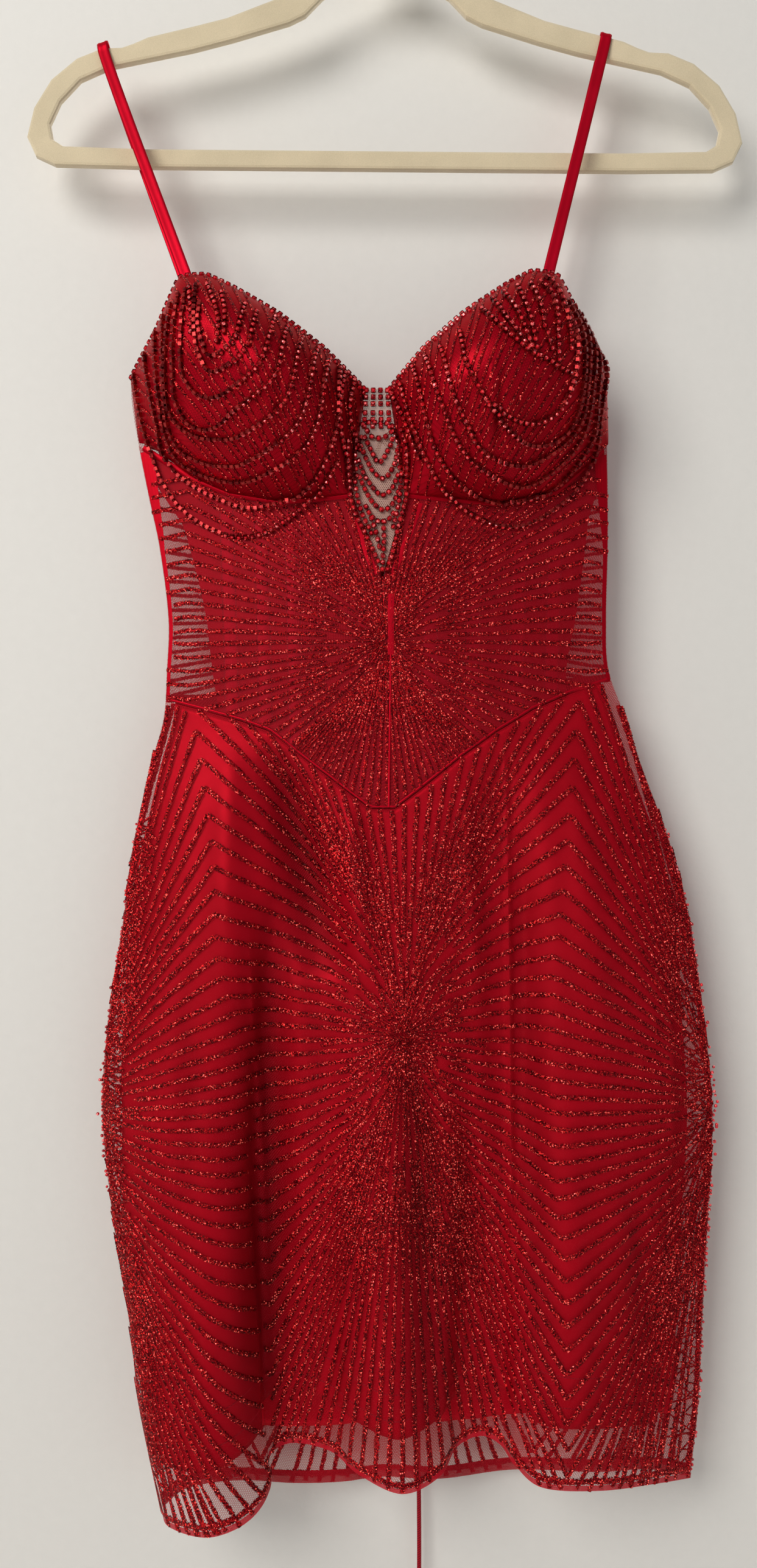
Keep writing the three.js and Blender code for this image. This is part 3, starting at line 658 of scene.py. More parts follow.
bodiceColumns = [
    0, 0.035, 0.07, 0.106, 0.143, 0.18, 0.215, 0.25, 0.283, 0.31, 0.335, 0.36, 0.385, 0.41, 0.443, 0.468,
    0.4916, 0.525, 0.557, 0.59, 0.62, 0.645, 0.67, 0.69, 0.71, 0.725, 0.74, 0.755, 0.77, 0.79, 0.815, 0.845,
    0.875, 0.905, 0.94, 0.97, 1,
]
bodiceTops = [(i / 36, top) for i, top in enumerate(bodiceColumns)]


def bodicePoint(line, v):
    top = straightAt(bodiceTops, line)
    waist = foldAt(-1, round(line, 5))[0]
    z = mix(straightAt(bodiceTop, top), straightAt(waistSeam, waist) + shape["seamGap"] / 2, v)
    return bodyPoint(mix(top, waist, v), z, -1)


def openingMiddle(z):
    return sum(sectionAt(z)[:2]) / 2


def openingHalf(z):
    (topZ, topHalf), (lowZ, lowHalf) = shape["openingTop"], shape["openingLow"]
    return mix(topHalf, lowHalf, (z - topZ) / (lowZ - topZ))


def backPanelPoint(side, u, v):
    topZ = shape["backTop"] - 20 * math.sin(u * math.pi / 2) + (4 * (1 - u) if side > 0 else 0)
    lowZ = mix(backWaistZ(0 if side < 0 else 1), backWaistZ(0.5), u) + shape["seamGap"] / 2
    z = mix(topZ, lowZ, v)
    seam = sectionAt(z)[0 if side < 0 else 1]
    x = mix(seam, openingMiddle(z) + side * openingHalf(z), u)
    return bodyPoint(acrossAt(x, z), z, 1)


def cupPoint(table, u, v):
    lowX = straightAt(table, u, 3)
    lowZ = straightAt(bodiceTop, acrossAt(lowX, shape["wireZ"])) + shape["cupSeamGap"]
    x = mix(straightAt(table, u, 1), lowX, v)
    z = mix(straightAt(table, u, 2), lowZ, v)
    point = bodyPoint(acrossAt(x, z), z, -1)
    dome = max(math.sin(math.pi * u**0.95), 0) ** 0.8 * max(math.sin(math.pi * v**0.85), 0) ** 0.75
    stand = smoothAt(table, u, 4) * (1 - v) ** 1.6
    point.y -= stand + shape["cupDepth"] * dome + creaseAt(cupCreases, point.x, point.z)
    return point


def insertPoint(u, v):
    z = mix(shape["insertTop"], shape["insertLow"], v)
    left = straightAt(insertEdges, z, 1) + shape["insertGap"]
    right = straightAt(insertEdges, z, 2) - shape["insertGap"]
    return bodyPoint(acrossAt(mix(left, right, u), z), z, -1)


def pathThrough(points, steps):
    # centripetal curve through the points, as (steps + 1) places
    points = [Vector(p) for p in points]
    ends = [points[0] * 2 - points[1], *points, points[-1] * 2 - points[-2]]
    path = []
    for step in range(steps + 1):
        along = step / steps * (len(points) - 1)
        i = min(int(along), len(points) - 2)
        a, b, c, d = ends[i : i + 4]
        knots = [0.0]
        for first, last in ((a, b), (b, c), (c, d)):
            knots.append(knots[-1] + max((last - first).length ** 0.5, 1e-4))
        t = mix(knots[1], knots[2], along - i)

        def between(p, q, k, m):
            return p + (q - p) * ((t - knots[k]) / (knots[m] - knots[k]))

        ab, bc, cd = between(a, b, 0, 1), between(b, c, 1, 2), between(c, d, 2, 3)
        path.append(between(between(ab, bc, 0, 2), between(bc, cd, 1, 3), 1, 2))
    return path


def roundCord(name, points, diameter, material, slot, replaced, steps):
    curve = bpy.data.curves.new(name, "CURVE")
    curve.dimensions = "3D"
    curve.bevel_depth = diameter / 2 * mm
    curve.bevel_resolution = 3
    curve.use_fill_caps = True
    path = pathThrough(points, steps)
    line = curve.splines.new("POLY")
    line.points.add(len(path) - 1)
    for spot, place in zip(line.points, path):
        spot.co = (*(place * mm), 1)
    line.use_smooth = True
    return addPiece(name, curve, material, slot, replaced), path


cords = {
    "diameter": 2.8,
    "loopDiameter": 2.2,
    "longTail": [
        (7, 18.7, -574.3), (7.6, 18.6, -600), (8.6, 20.2, -640), (10, 23.2, -700), (11.6, 25.5, -760),
        (13.6, 26, -820), (16, 26, -880), (18, 26.5, -940), (20, 27.5, -1000), (21, 28, -1060),
        (21.3, 27, -1110), (21, 26, -1150),
    ],
    "shortTail": [
        (1.8, 18.7, -574.3), (0.4, 18.6, -600), (-1.6, 20.2, -640), (-3, 23.2, -700), (-3.4, 25.5, -760),
        (-3, 26.2, -820), (-2.2, 26.5, -880), (-1, 27, -940), (0.5, 28, -1000), (1, 28.6, -1030),
    ],
    "tie": (4.4, 18.7, -569),
    "tieSize": (6.4, 4.2, 5.4),
    "tieWraps": [(0, 18, 1.2), (25, -20, -1.2), (90, 70, 0)],  # each turn's heading, lean and height
    "endSize": (2.6, 2.6, 3.5),
    "endWraps": [(0, 22, 0.7), (70, -24, -0.8)],
    "endDrop": 3.4,
    "knotCord": 1.25,
    "loop": [(12, -3), (6.4, -2.5), (5, 3), (2, 8), (-2, 8), (-5, 3), (-6.4, -2.5), (-12, -3)],
    "levels": 6,
    "topZ": -396,
    "pitch": 30,
}


def cordKnot(name, place, size, wraps, replaced):
    # a pulled-tight knot: a core with turns of cord round it
    knot = bmesh.new()
    bmesh.ops.create_uvsphere(knot, u_segments=20, v_segments=12, radius=1)
    bmesh.ops.scale(knot, verts=knot.verts, vec=(size[0] * 0.8, size[1] * 0.8, size[2] * 0.86))
    for turn, lean, high in wraps:
        ring = bmesh.new()
        bmesh.ops.create_circle(ring, segments=10, radius=cords["knotCord"], cap_ends=False)
        bmesh.ops.rotate(ring, verts=ring.verts, matrix=Matrix.Rotation(math.pi / 2, 3, "X"))
        bmesh.ops.translate(ring, verts=ring.verts, vec=(size[0] - cords["knotCord"], 0, 0))
        fullTurn = {"cent": (0, 0, 0), "axis": (0, 0, 1), "angle": math.tau, "steps": 24, "use_merge": True}
        bmesh.ops.spin(ring, geom=ring.verts[:] + ring.edges[:], **fullTurn)
        bmesh.ops.scale(ring, verts=ring.verts, vec=(1, size[1] / size[0], 1))
        bmesh.ops.rotate(ring, verts=ring.verts, matrix=Matrix.Rotation(math.radians(lean), 3, "Y"))
        bmesh.ops.rotate(ring, verts=ring.verts, matrix=Matrix.Rotation(math.radians(turn), 3, "Z"))
        bmesh.ops.translate(ring, verts=ring.verts, vec=(0, 0, high))
        bmesh.ops.remove_doubles(ring, verts=ring.verts, dist=0.01)
        bmesh.ops.recalc_face_normals(ring, faces=ring.faces)
        part = bpy.data.meshes.new("turn")
        ring.to_mesh(part)
        ring.free()
        knot.from_mesh(part)
        bpy.data.meshes.remove(part)
    spot = Matrix.Translation(Vector(place) * mm) @ Matrix.Scale(mm, 4)
    bmesh.ops.transform(knot, matrix=spot, verts=knot.verts)
    return addPiece(name, knot, "cord", "lace_satin", replaced)


def makeTails():
    for name, points, steps in (("tail_long", cords["longTail"], 34), ("tail_short", cords["shortTail"], 28)):
        tail, path = roundCord(name + "_cord", points, cords["diameter"], "cord", "lace_satin", [name], steps)
        x, y, z = points[-1]
        place = (x, y, z - cords["endDrop"])
        end = cordKnot(name + "_knot", place, cords["endSize"], cords["endWraps"], [name + "_end"])
        length = sum((b - a).length for a, b in zip(path, path[1:]))
        print("tail", name, round(length))


def tapeOut(z):
    return bodyPoint(0.5, z, 1).y + 0.5 + cords["loopDiameter"] / 2 + 0.3


def levelZ(level):
    return cords["topZ"] - cords["pitch"] * level


def makeLoops():
    for side, name in ((-1, "left"), (1, "right")):
        points = []
        for level in range(cords["levels"]):
            for drop, inward in cords["loop"]:
                z = levelZ(level) + drop
                points.append((openingMiddle(z) + side * (openingHalf(z) - inward), tapeOut(z), z))
        steps = 4 * len(points) - 4
        tape = "loopTape_" + name
        roundCord(tape, points, cords["loopDiameter"], "cord", "lace_satin", ["loops_" + name], steps)


def makeLacing():
    clear = (cords["loopDiameter"] + cords["diameter"]) / 2 + 0.35
    tieX, tieY, tieZ = cords["tie"]

    def strand(start):
        points = []
        for level in range(cords["levels"]):
            side = -start if level % 2 else start
            z, last = levelZ(level), level == cords["levels"] - 1
            middle, half, out = openingMiddle(z), openingHalf(z), tapeOut(z)
            first = -clear if last else clear
            if level:
                points.append((middle + side * (half - 9.5), out + first, z + 1.4))
            points.append((middle + side * (half - 7), out + first, z + 0.8))
            points.append((middle + side * (half - 3), out, z))
            points.append((middle + side * (half - 7), out - first, z - 0.8))
            if not last:
                points.append((middle + side * (half - 9.5), out - first, z - 1.4))
                z -= cords["pitch"] / 2
                points.append((openingMiddle(z), tapeOut(z) + start * 1.65, z))
        z = levelZ(cords["levels"] - 1) - 8
        side = start if cords["levels"] % 2 else -start
        points.append((openingMiddle(z) + side * 5.5, tapeOut(z) + 2.9, z))
        points.append((tieX + side * 3.2, tieY, tieZ + cords["tieSize"][2] - 0.3))
        return points

    top = levelZ(0)
    bridge = (openingMiddle(top), tapeOut(top) + clear, top + 1.5)
    points = [*reversed(strand(-1)), bridge, *strand(1)]
    roundCord("lace", points, cords["diameter"], "cord", "lace_satin", ["lacing"], 4 * len(points) - 4)
    cordKnot("tieKnot", cords["tie"], cords["tieSize"], cords["tieWraps"], ["tie_knot"])


makeTails()
makeLoops()
makeLacing()
print("cords ready")


def dressFrameNode(name, material):
    node = frame["nodes"][name]
    node.data.materials.clear()
    node.data.materials.append(materials[material])


dressFrameNode("hanger", "velvet")
dressFrameNode("hanger_hook", "steel")

straps = {
    "width": 6.6,
    "thickness": 1.3,
    "steps": 112,
    "ridge": (0.0, 0.35, 0.12, 0.12, 0.12, 0.35, 0.0),  # stitched edges stand a little proud
    "left": {"cup": (-117.5, -29.5, -318), "arm": (-176.5, 0, -153.9), "back": (-97, 5.1, -381)},
    "right": {"cup": (95, -29.3, -316), "arm": (136.5, 0, -148.3), "back": (81.5, 5.1, -379)},
}


def makeStrap(side):
    ends = straps[side]
    armX, _, armZ = ends["arm"]
    lean = 1 if armX > 0 else -1
    over = [
        (armX - lean * 1.2, -4.1, armZ - 7), (armX - lean * 0.3, -3.7, armZ - 2.4), (armX, -2.1, armZ - 0.3),
        (armX, 2.1, armZ - 0.3), (armX - lean * 0.3, 3.7, armZ - 2.4), (armX - lean * 1.2, 4.1, armZ - 7),
    ]
    points = [ends["cup"], *over, ends["back"]]
    steps, ridge = straps["steps"], straps["ridge"]
    path = pathThrough(points, steps)
    run = Vector((armX - ends["cup"][0], armZ - ends["cup"][2])).normalized()
    acrossStrap = Vector((run[1], 0, -run[0]))

    def at(u, v):
        i = round(v * steps)
        ahead = (path[min(i + 1, steps)] - path[max(i - 1, 0)]).normalized()
        out = acrossStrap.cross(ahead).normalized()
        proud = ridge[round(u * (len(ridge) - 1))]
        return path[i] + acrossStrap * ((u - 0.5) * straps["width"]) + out * proud

    cloth = clothGrid(at, len(ridge) - 1, steps, -1)
    strap = addPiece("strap_" + side + "_satin", cloth, "strapSatin", "strap_satin", ["strap_" + side])
    thicken(strap, straps["thickness"] * mm, 0)


makeStrap("left")
makeStrap("right")
print("hanger and straps ready")

panels = {}  # what the lines and stones are laid on
cloths = {}  # each sheet of cloth: its piece, its flat width and length, and its area


def addCloth(name, cloth, material, slot, replaced=(), thickness=0.0):
    uvMap = cloth.loops.layers.uv.verify()
    spots = [loop[uvMap].uv for face in cloth.faces for loop in face.loops]
    width = max(spot.x for spot in spots) - min(spot.x for spot in spots)
    length = max(spot.y for spot in spots) - min(spot.y for spot in spots)
    area = sum(face.calc_area() for face in cloth.faces)
    piece = addPiece(name, cloth, material, slot, replaced)
    if thickness:
        thicken(piece, thickness * mm)
    cloths[name] = (piece, (width, length), min(area, width * length))
    print("cloth", name, round(width * 1000), round(length * 1000), round(area * 1e4))


def betweenEdges(edges, u, v):
    return mix(straightAt(edges, v, 1), straightAt(edges, v, 2), u)


def makeSkirt():
    sides = ((-1, "front", frontCreases, 180, 0.993), (1, "back", backCreases, 140, 0.984))
    for facing, side, creases, columns, hemStart in sides:

        def at(u, v):
            return skirtPoint(facing, u, v)

        def liningAt(u, v):
            return at(betweenEdges(skirtLiningEdges, u, v), v)

        def shade(x, z):
            return troughAt(creases, x, z)

        net = clothGrid(at, columns, 120, facing, shade=shade)
        panels["skirt_" + side] = BVHTree.FromBMesh(net)
        addCloth("skirtNet_" + side, net, "net", "beaded_net", ["skirt_" + side])
        lining = clothGrid(liningAt, columns, 110, facing, shape["liningIn"], (0, shape["liningDown"]), shade)
        panels["lining_" + side] = BVHTree.FromBMesh(lining)
        addCloth("skirtLining_" + side, lining, "skirtSatin", "skirt_lining", ["lining_" + side], 0.4)
        band = clothGrid(at, columns, 3, facing, 0.25, (hemStart, 1))
        addPiece("hemBand_" + side, band, "netHem", "beaded_net")


def makeBodice():
    body = clothGrid(lambda u, v: bodyPoint(u, mix(-380, -520, v), -1), 96, 50, -1)
    panels["body"] = BVHTree.FromBMesh(body)
    net = clothGrid(bodicePoint, 144, 60, -1)
    panels["bodice_front"] = BVHTree.FromBMesh(net)
    addCloth("bodiceNet", net, "bodiceNet", "beaded_net", ["bodice_front"])

    def liningAt(u, v):
        return bodicePoint(betweenEdges(bodiceLiningEdges, u, v), mix(0.004, 0.985, v))

    lining = clothGrid(liningAt, 144, 60, -1, shape["liningIn"])
    panels["bodice_lining"] = BVHTree.FromBMesh(lining)
    addCloth("bodiceLining", lining, "bodiceSatin", "bodice_lining", ["bodice_lining"])
    for side, name in ((-1, "left"), (1, "right")):
        panel = clothGrid(lambda u, v: backPanelPoint(side, u, v), 48, 60, 1)
        panels["back_" + name] = BVHTree.FromBMesh(panel)
        addCloth("backPanel_" + name, panel, "bodiceNet", "beaded_net", ["bodice_back_" + name])
    insert = clothGrid(insertPoint, 16, 50, -1)
    panels["insert"] = BVHTree.FromBMesh(insert)
    addCloth("insertMesh", insert, "insertMesh", "insert_mesh", ["front_insert"])


def makeCups():
    for side, table in (("left", leftCup), ("right", rightCup)):
        cup = clothGrid(lambda u, v: cupPoint(table, u, v), 72, 56, -1, 1.0)
        panels["cup_" + side] = BVHTree.FromBMesh(cup)
        cup = addPiece("cup_" + side + "_satin", cup, "cupSatin", "cup_net", ["cup_" + side])
        thicken(cup, 1.6 * mm)


makeSkirt()
makeBodice()
makeCups()
print("cloth ready")

# strips are laid along lines, and each point of a line is x, z and how wide the strip is there
glitterLine = {"lift": 0.25, "crown": 0.8, "rough": 0.26, "drift": 0.45}
flatBand = {"lift": 0.15, "crown": 0.12, "rough": 0.0, "drift": 0.0}
rays = {
    "width": 3.4,
    "least": 1.5,
    "hemWidth": 4.6,
    "seamWidth": 3.2,
    "fill": 0.55,
    "step": 3.6,
    "starts": (0.02, 0.24, 0.08, 0.3),
}
rayBend = [(0, 0.5), (40, 0.53), (57, 0.6), (70, 0.77), (84, 1)]  # degrees from level, power of the curve
lineSeed = random.Random(7)


def burstLine(burst, target, order, gap, width=rays["width"], bends=rayBend, first=None):
    # from a burst to a target, steep first and then flatter; gap is the way to the next line's target
    dx, dz = target[0] - burst[0], target[1] - burst[1]
    length = math.hypot(dx, dz)
    bend = straightAt(bends, math.degrees(math.atan2(abs(dz), abs(dx))))
    spread = abs(gap[0] * dz * bend - gap[1] * dx) / math.hypot(dx, dz * bend)
    count = max(int(length / rays["step"]), 3)
    first = first or rays["starts"][order % 4]
    line = []
    for i in range(count + 1):
        t = mix(first, 1, i / count)
        fewer = mix(2, 1, clamp((t - 0.3) / 0.2))  # few rays begin near the burst, so each is wider there
        wide = clamp(rays["fill"] * spread * t * fewer, rays["least"], width) * min(0.45 + 0.3 * i, 1)
        line.append((burst[0] + dx * t, burst[1] + dz * t**bend, wide))
    return line


def inSmallSteps(points, width):
    # a few points as a line of even small steps
    line = [(*points[0], width)]
    for (x0, z0), (x1, z1) in zip(points, points[1:]):
        count = max(int(math.hypot(x1 - x0, z1 - z0) / rays["step"]), 1)
        line += [(mix(x0, x1, i / count), mix(z0, z1, i / count), width) for i in range(1, count + 1)]
    return line


def layLines(cloth, host, lines, facing, style):
    # lays crowned strips on a panel
    uvMap = cloth.loops.layers.uv.verify()
    trough = cloth.verts.layers.float.get("trough") or cloth.verts.layers.float.new("trough")
    creases = frontCreases if facing < 0 else backCreases
    for line in lines:
        wobble = lineSeed.uniform(0, 100)
        runs, run, walked = [], [], 0.0
        for i, (x, z, wide) in enumerate(line):
            if i:
                walked += math.hypot(x - line[i - 1][0], z - line[i - 1][1])
            hit, normal, _, _ = host.ray_cast(Vector((x * mm, facing * 0.4, z * mm)), Vector((0, -facing, 0)))
            if hit is None or (run and abs(hit.y - run[-1][0].y) > 0.007):
                runs.append(run)
                run = []
            if hit is not None:
                run.append((hit, normal if normal.y * facing > 0 else -normal, walked, wide))
        runs.append(run)
        for run in runs:
            if len(run) < 3:
                continue
            made = bmesh.ops.create_grid(cloth, x_segments=len(run) - 1, y_segments=2, size=0.5)["verts"]
            faces = set()
            for corner in made:
                i, row = round((corner.co.x + 0.5) * (len(run) - 1)), round(corner.co.y * 2)
                place, normal, gone, grown = run[i]
                ahead = run[min(i + 1, len(run) - 1)][0] - run[max(i - 1, 0)][0]
                side = normal.cross(ahead).normalized()
                grown *= 1 + style["rough"] * noise.noise(Vector((gone * 0.09, wobble, row * 3.1)))
                drift = style["drift"] * noise.noise(Vector((gone * 0.05, wobble, 9)))
                out = style["lift"] + (style["crown"] if row == 0 else 0)
                corner.co = place + side * ((row * grown / 2 + drift) * mm) + normal * (out * mm)
                corner[trough] = troughAt(creases, place.x / mm, place.z / mm)
                faces.update(corner.link_faces)
                corner.index = i * 10 + row + 1
            for face in faces:
                for loop in face.loops:
                    i, row = divmod(loop.vert.index, 10)
                    loop[uvMap].uv = (run[i][2] * mm, row / 2)
            face = made[0].link_faces[0]
            face.normal_update()
            if face.normal.dot(run[0][1]) < 0:
                bmesh.ops.reverse_faces(cloth, faces=list(faces))


def walkDown(top, low, pitches):
    z, levels = top, []
    while z > low:
        levels.append(z)
        z -= straightAt(pitches, z)
    return levels


# a sunburst in the middle and one at each side, whose rays meet; pitches are the rays' distances by height
frontPattern = {
    "facing": -1,
    "centre": (10, -765),
    "left": (-186, -823),
    "right": (206, -820),
    "leftMeet": [
        (-560, -124), (-592, -116), (-658, -104.5), (-706, -103), (-728, -100), (-787, -76), (-880, -73),
        (-1075, -70),
    ],
    "rightMeet": [
        (-550, 121), (-585, 117), (-627, 112), (-655, 109), (-700, 104), (-723, 99.5), (-805, 98),
        (-869, 101), (-900, 106), (-1075, 108),
    ],
    "pitches": [
        (-540, 19), (-620, 16.5), (-690, 13.5), (-740, 10.5), (-790, 9.6), (-850, 10.5), (-900, 13),
        (-980, 15), (-1075, 17),
    ],
    "leftReach": 1.06,  # how far along the hem the side bursts' rays go, as a share of the burst's x
    "rightReach": 0.88,
    "lattices": [(0, -640, -1040, 6.5, 13, 1.9), (1, -725, -1046, 10.5, 18, 1.4)],
    "top": -545,
    "low": -1082,
}
backPattern = {
    "facing": 1,
    "centre": (4, -812),
    "left": (-186, -790),
    "right": (208, -796),
    "leftMeet": [(-545, -86), (-700, -92), (-800, -96), (-900, -90), (-1075, -78)],
    "rightMeet": [(-545, 96), (-700, 102), (-800, 106), (-900, 102), (-1075, 92)],
    "pitches": [(-540, 19), (-660, 14.5), (-760, 10.5), (-840, 10), (-900, 14), (-1075, 20)],
    "leftReach": 1,
    "rightReach": 0.88,
    "lattices": [(0, -640, -1040, 6.5, 13, 1.9), (1, -725, -1046, 21, 18, 1.4)],
    "top": -540,
    "low": -1082,
}


hearts = {"centre": (44, 54), "side": (30, 34), "bodice": (40, 40, 2.2)}  # count, reach and width of the rays


def burstHeart(burst, count, reach, width=2.4):
    # short rays that fill a burst's middle
    lines = []
    for k in range(count):
        angle = math.tau * (k + lineSeed.uniform(-0.25, 0.25)) / count
        far = reach * (0.55, 1, 0.7, 0.85)[k % 4] * lineSeed.uniform(0.85, 1.15)
        line = []
        for i in range(13):
            r = mix(1.5, far, i / 12)
            turn = angle + 0.12 * math.sin(angle * 2) * i / 12
            wide = clamp(r * 5.2 / count, 0.8, width)
            line.append((burst[0] + r * math.cos(turn), burst[1] + r * math.sin(turn), wide))
        lines.append(line)
    return lines


def acrossEdge(burst, z, x0, x1, spacing, width=rays["width"], bends=rayBend, first=None):
    # rays from a burst to even places along a level line
    count = max(round(abs(x1 - x0) / spacing), 1)
    gap = (x1 - x0) / count
    targets = [(x0 + gap * k, z) for k in range(1, count)]
    return [burstLine(burst, spot, 3 * k, (gap, 0), width, bends, first) for k, spot in enumerate(targets, 1)]


def seamLattice(column, top, low, pitch, reach, width):
    # short crossing lines along the left (0) or right (1) side seam; reach is how far in they go
    lines, way = [], 1 - 2 * column
    for k in range(int((top - low) / pitch)):
        z = top - pitch * k + lineSeed.uniform(-1.2, 1.2)
        for slope in (0.65, -0.5):
            edge = sectionAt(z)[column] + way * 1.2
            drop = slope * reach * lineSeed.uniform(0.8, 1.2)
            lines.append([(edge + way * reach * i / 6, z - drop * i / 6, width) for i in range(7)])
    return lines


def skirtLines(pattern):
    lines = []
    centre, left, right = pattern["centre"], pattern["left"], pattern["right"]
    leftMeet, rightMeet = pattern["leftMeet"], pattern["rightMeet"]
    top, low = pattern["top"], pattern["low"]
    sides = ((leftMeet, left, pattern["leftReach"]), (rightMeet, right, pattern["rightReach"]))
    for meet, side, sideReach in sides:
        for k, z in enumerate(walkDown(top, low, pattern["pitches"])):
            target, gap = (straightAt(meet, z), z), (0, straightAt(pattern["pitches"], z))
            lines.append(burstLine(centre, target, k, gap))
            lines.append(burstLine(side, target, k + 1, gap))
        lines += acrossEdge(side, top, straightAt(meet, top), side[0] * 1.06, 10)
        lines += acrossEdge(side, low, straightAt(meet, low), side[0] * sideReach, 8)
    for z, spacing in ((top, 12), (low, 10)):
        lines += acrossEdge(centre, z, straightAt(leftMeet, z), straightAt(rightMeet, z), spacing)
    lines += acrossEdge(left, low, straightAt(leftMeet, low) - 5, left[0] - 5, 8, first=0.7)
    lines += acrossEdge(right, low, straightAt(rightMeet, low) + 5, 176, 10, first=0.7)
    hem = [skirtPoint(pattern["facing"], k / 120, 0.988) for k in range(1, 120)]
    lines.append([(spot.x, spot.z, rays["hemWidth"]) for spot in hem])
    lines += burstHeart(centre, *hearts["centre"])
    for side in (left, right):
        lines += burstHeart(side, *hearts["side"])
    for column, inward in ((0, 1.8), (1, -1.8)):  # the beaded side seams
        lines.append([(sectionAt(z)[column] + inward, z, rays["seamWidth"]) for z in range(-566, -1062, -4)])
    for lattice in pattern["lattices"]:
        lines += seamLattice(*lattice)
    return lines


bodicePattern = {
    "centre": (-0.3, -527.6),
    "sideX": (-123, 124),
    "pitch": 8.6,
    "top": -425,
    "low": -645,
    "width": 3.2,
    "bend": [(0, 0.62), (40, 0.78), (62, 0.92), (80, 1)],
}


def bodiceLines():
    lines = []
    centre, top, low = bodicePattern["centre"], bodicePattern["top"], bodicePattern["low"]
    width, bend = bodicePattern["width"], bodicePattern["bend"]
    for sideX in bodicePattern["sideX"]:
        edge = sideX * 1.3
        k, z = 0, top
        while z > low:
            pitch = bodicePattern["pitch"] * (1 + 0.9 * clamp((-570 - z) / 60))
            line = burstLine(centre, (sideX, z), k, (0, pitch), width, bend)
            drop = 0.16 if z > centre[1] else -0.1
            slope = drop * abs(edge - sideX)
            line += [(mix(sideX, edge, s / 8), z - slope * s / 8, width) for s in range(1, 9)]
            lines.append(line)
            z -= pitch
            k += 1
    lines += burstHeart(centre, *hearts["bodice"])
    for edgeZ, spacing in ((top, 8.6), (low, 6.8)):
        lines += acrossEdge(centre, edgeZ, *bodicePattern["sideX"], spacing, width, bend, 0.09)
    return lines


cupRays = {"left": (93, 151), "right": (87, 29), "count": 40, "starts": (92, 110, 92, 128), "end": 300}


def cupLines(firstAngle, lastAngle):
    # the bodice's rays go on over a cup, and widen outwards
    x, z = bodicePattern["centre"]
    lines, count = [], cupRays["count"]
    for k in range(count):
        angle = math.radians(mix(firstAngle, lastAngle, (k + lineSeed.uniform(-0.2, 0.2)) / (count - 1)))
        ray = []
        for r in range(cupRays["starts"][k % 4], cupRays["end"], 4):
            ray.append((x + r * math.cos(angle), z + r * math.sin(angle), min(1.3 + 0.009 * (r - 80), 2.6)))
        lines.append(ray)
    return lines


def backLines():
    lines = []
    centre, edge, pitch, width = (0, -500), 150, 9.4, 2.8
    for side in (-1, 1):
        for k in range(26):
            lines.append(burstLine(centre, (side * edge, -356 - pitch * k), k, (0, pitch), width))
        lines += acrossEdge(centre, -352, side * 6, side * edge, 9, width)
    return lines


def addLines(name, laid, material, slot, style):
    # laid: pairs of a panel's name and the lines that go on it
    strips = bmesh.new()
    for panel, facing, lines in laid:
        layLines(strips, panels[panel], lines, facing, style)
    print(name, len(strips.faces))
    addPiece(name, strips, material, slot)


def makeGlitter():
    back = backLines()
    laid = {
        "skirtGlitter_front": lambda: [("skirt_front", -1, skirtLines(frontPattern))],
        "skirtGlitter_back": lambda: [("skirt_back", 1, skirtLines(backPattern))],
        "bodiceGlitter": lambda: [("bodice_front", -1, bodiceLines())],
        "cupGlitter": lambda: [("cup_" + side, -1, cupLines(*cupRays[side])) for side in ("left", "right")],
        "backGlitter": lambda: [("back_left", 1, back), ("back_right", 1, back)],
    }
    for name, panelLines in laid.items():
        addLines(name, panelLines(), "glitter", "glitter", glitterLine)


bands = {
    "boneTops": (-97, -76, -57, -13, 27, 53, 81, 103),
    "boneLean": 0.035,
    "boneWidth": 7.6,
    "boneEdge": 0.8,
    "insertWidth": 3.8,
    "pipingWidth": 1.1,
    "casingWidth": 3.6,
    "bindingWidth": 5.0,
    "stitchWidth": 0.8,
    "sideWidths": [(-404, 9), (-440, 6), (-470, 2.8), (-562, 2.2)],
    "centre": [(2.6, -499), (2.5, -536)],
    "centreLow": [(2.5, -536), (1.2, -629)],
    "leftEdge": [(-27, -432), (-17, -462), (-6.5, -487)],
    "rightEdge": [(24, -432), (14, -462), (3.2, -488)],
}


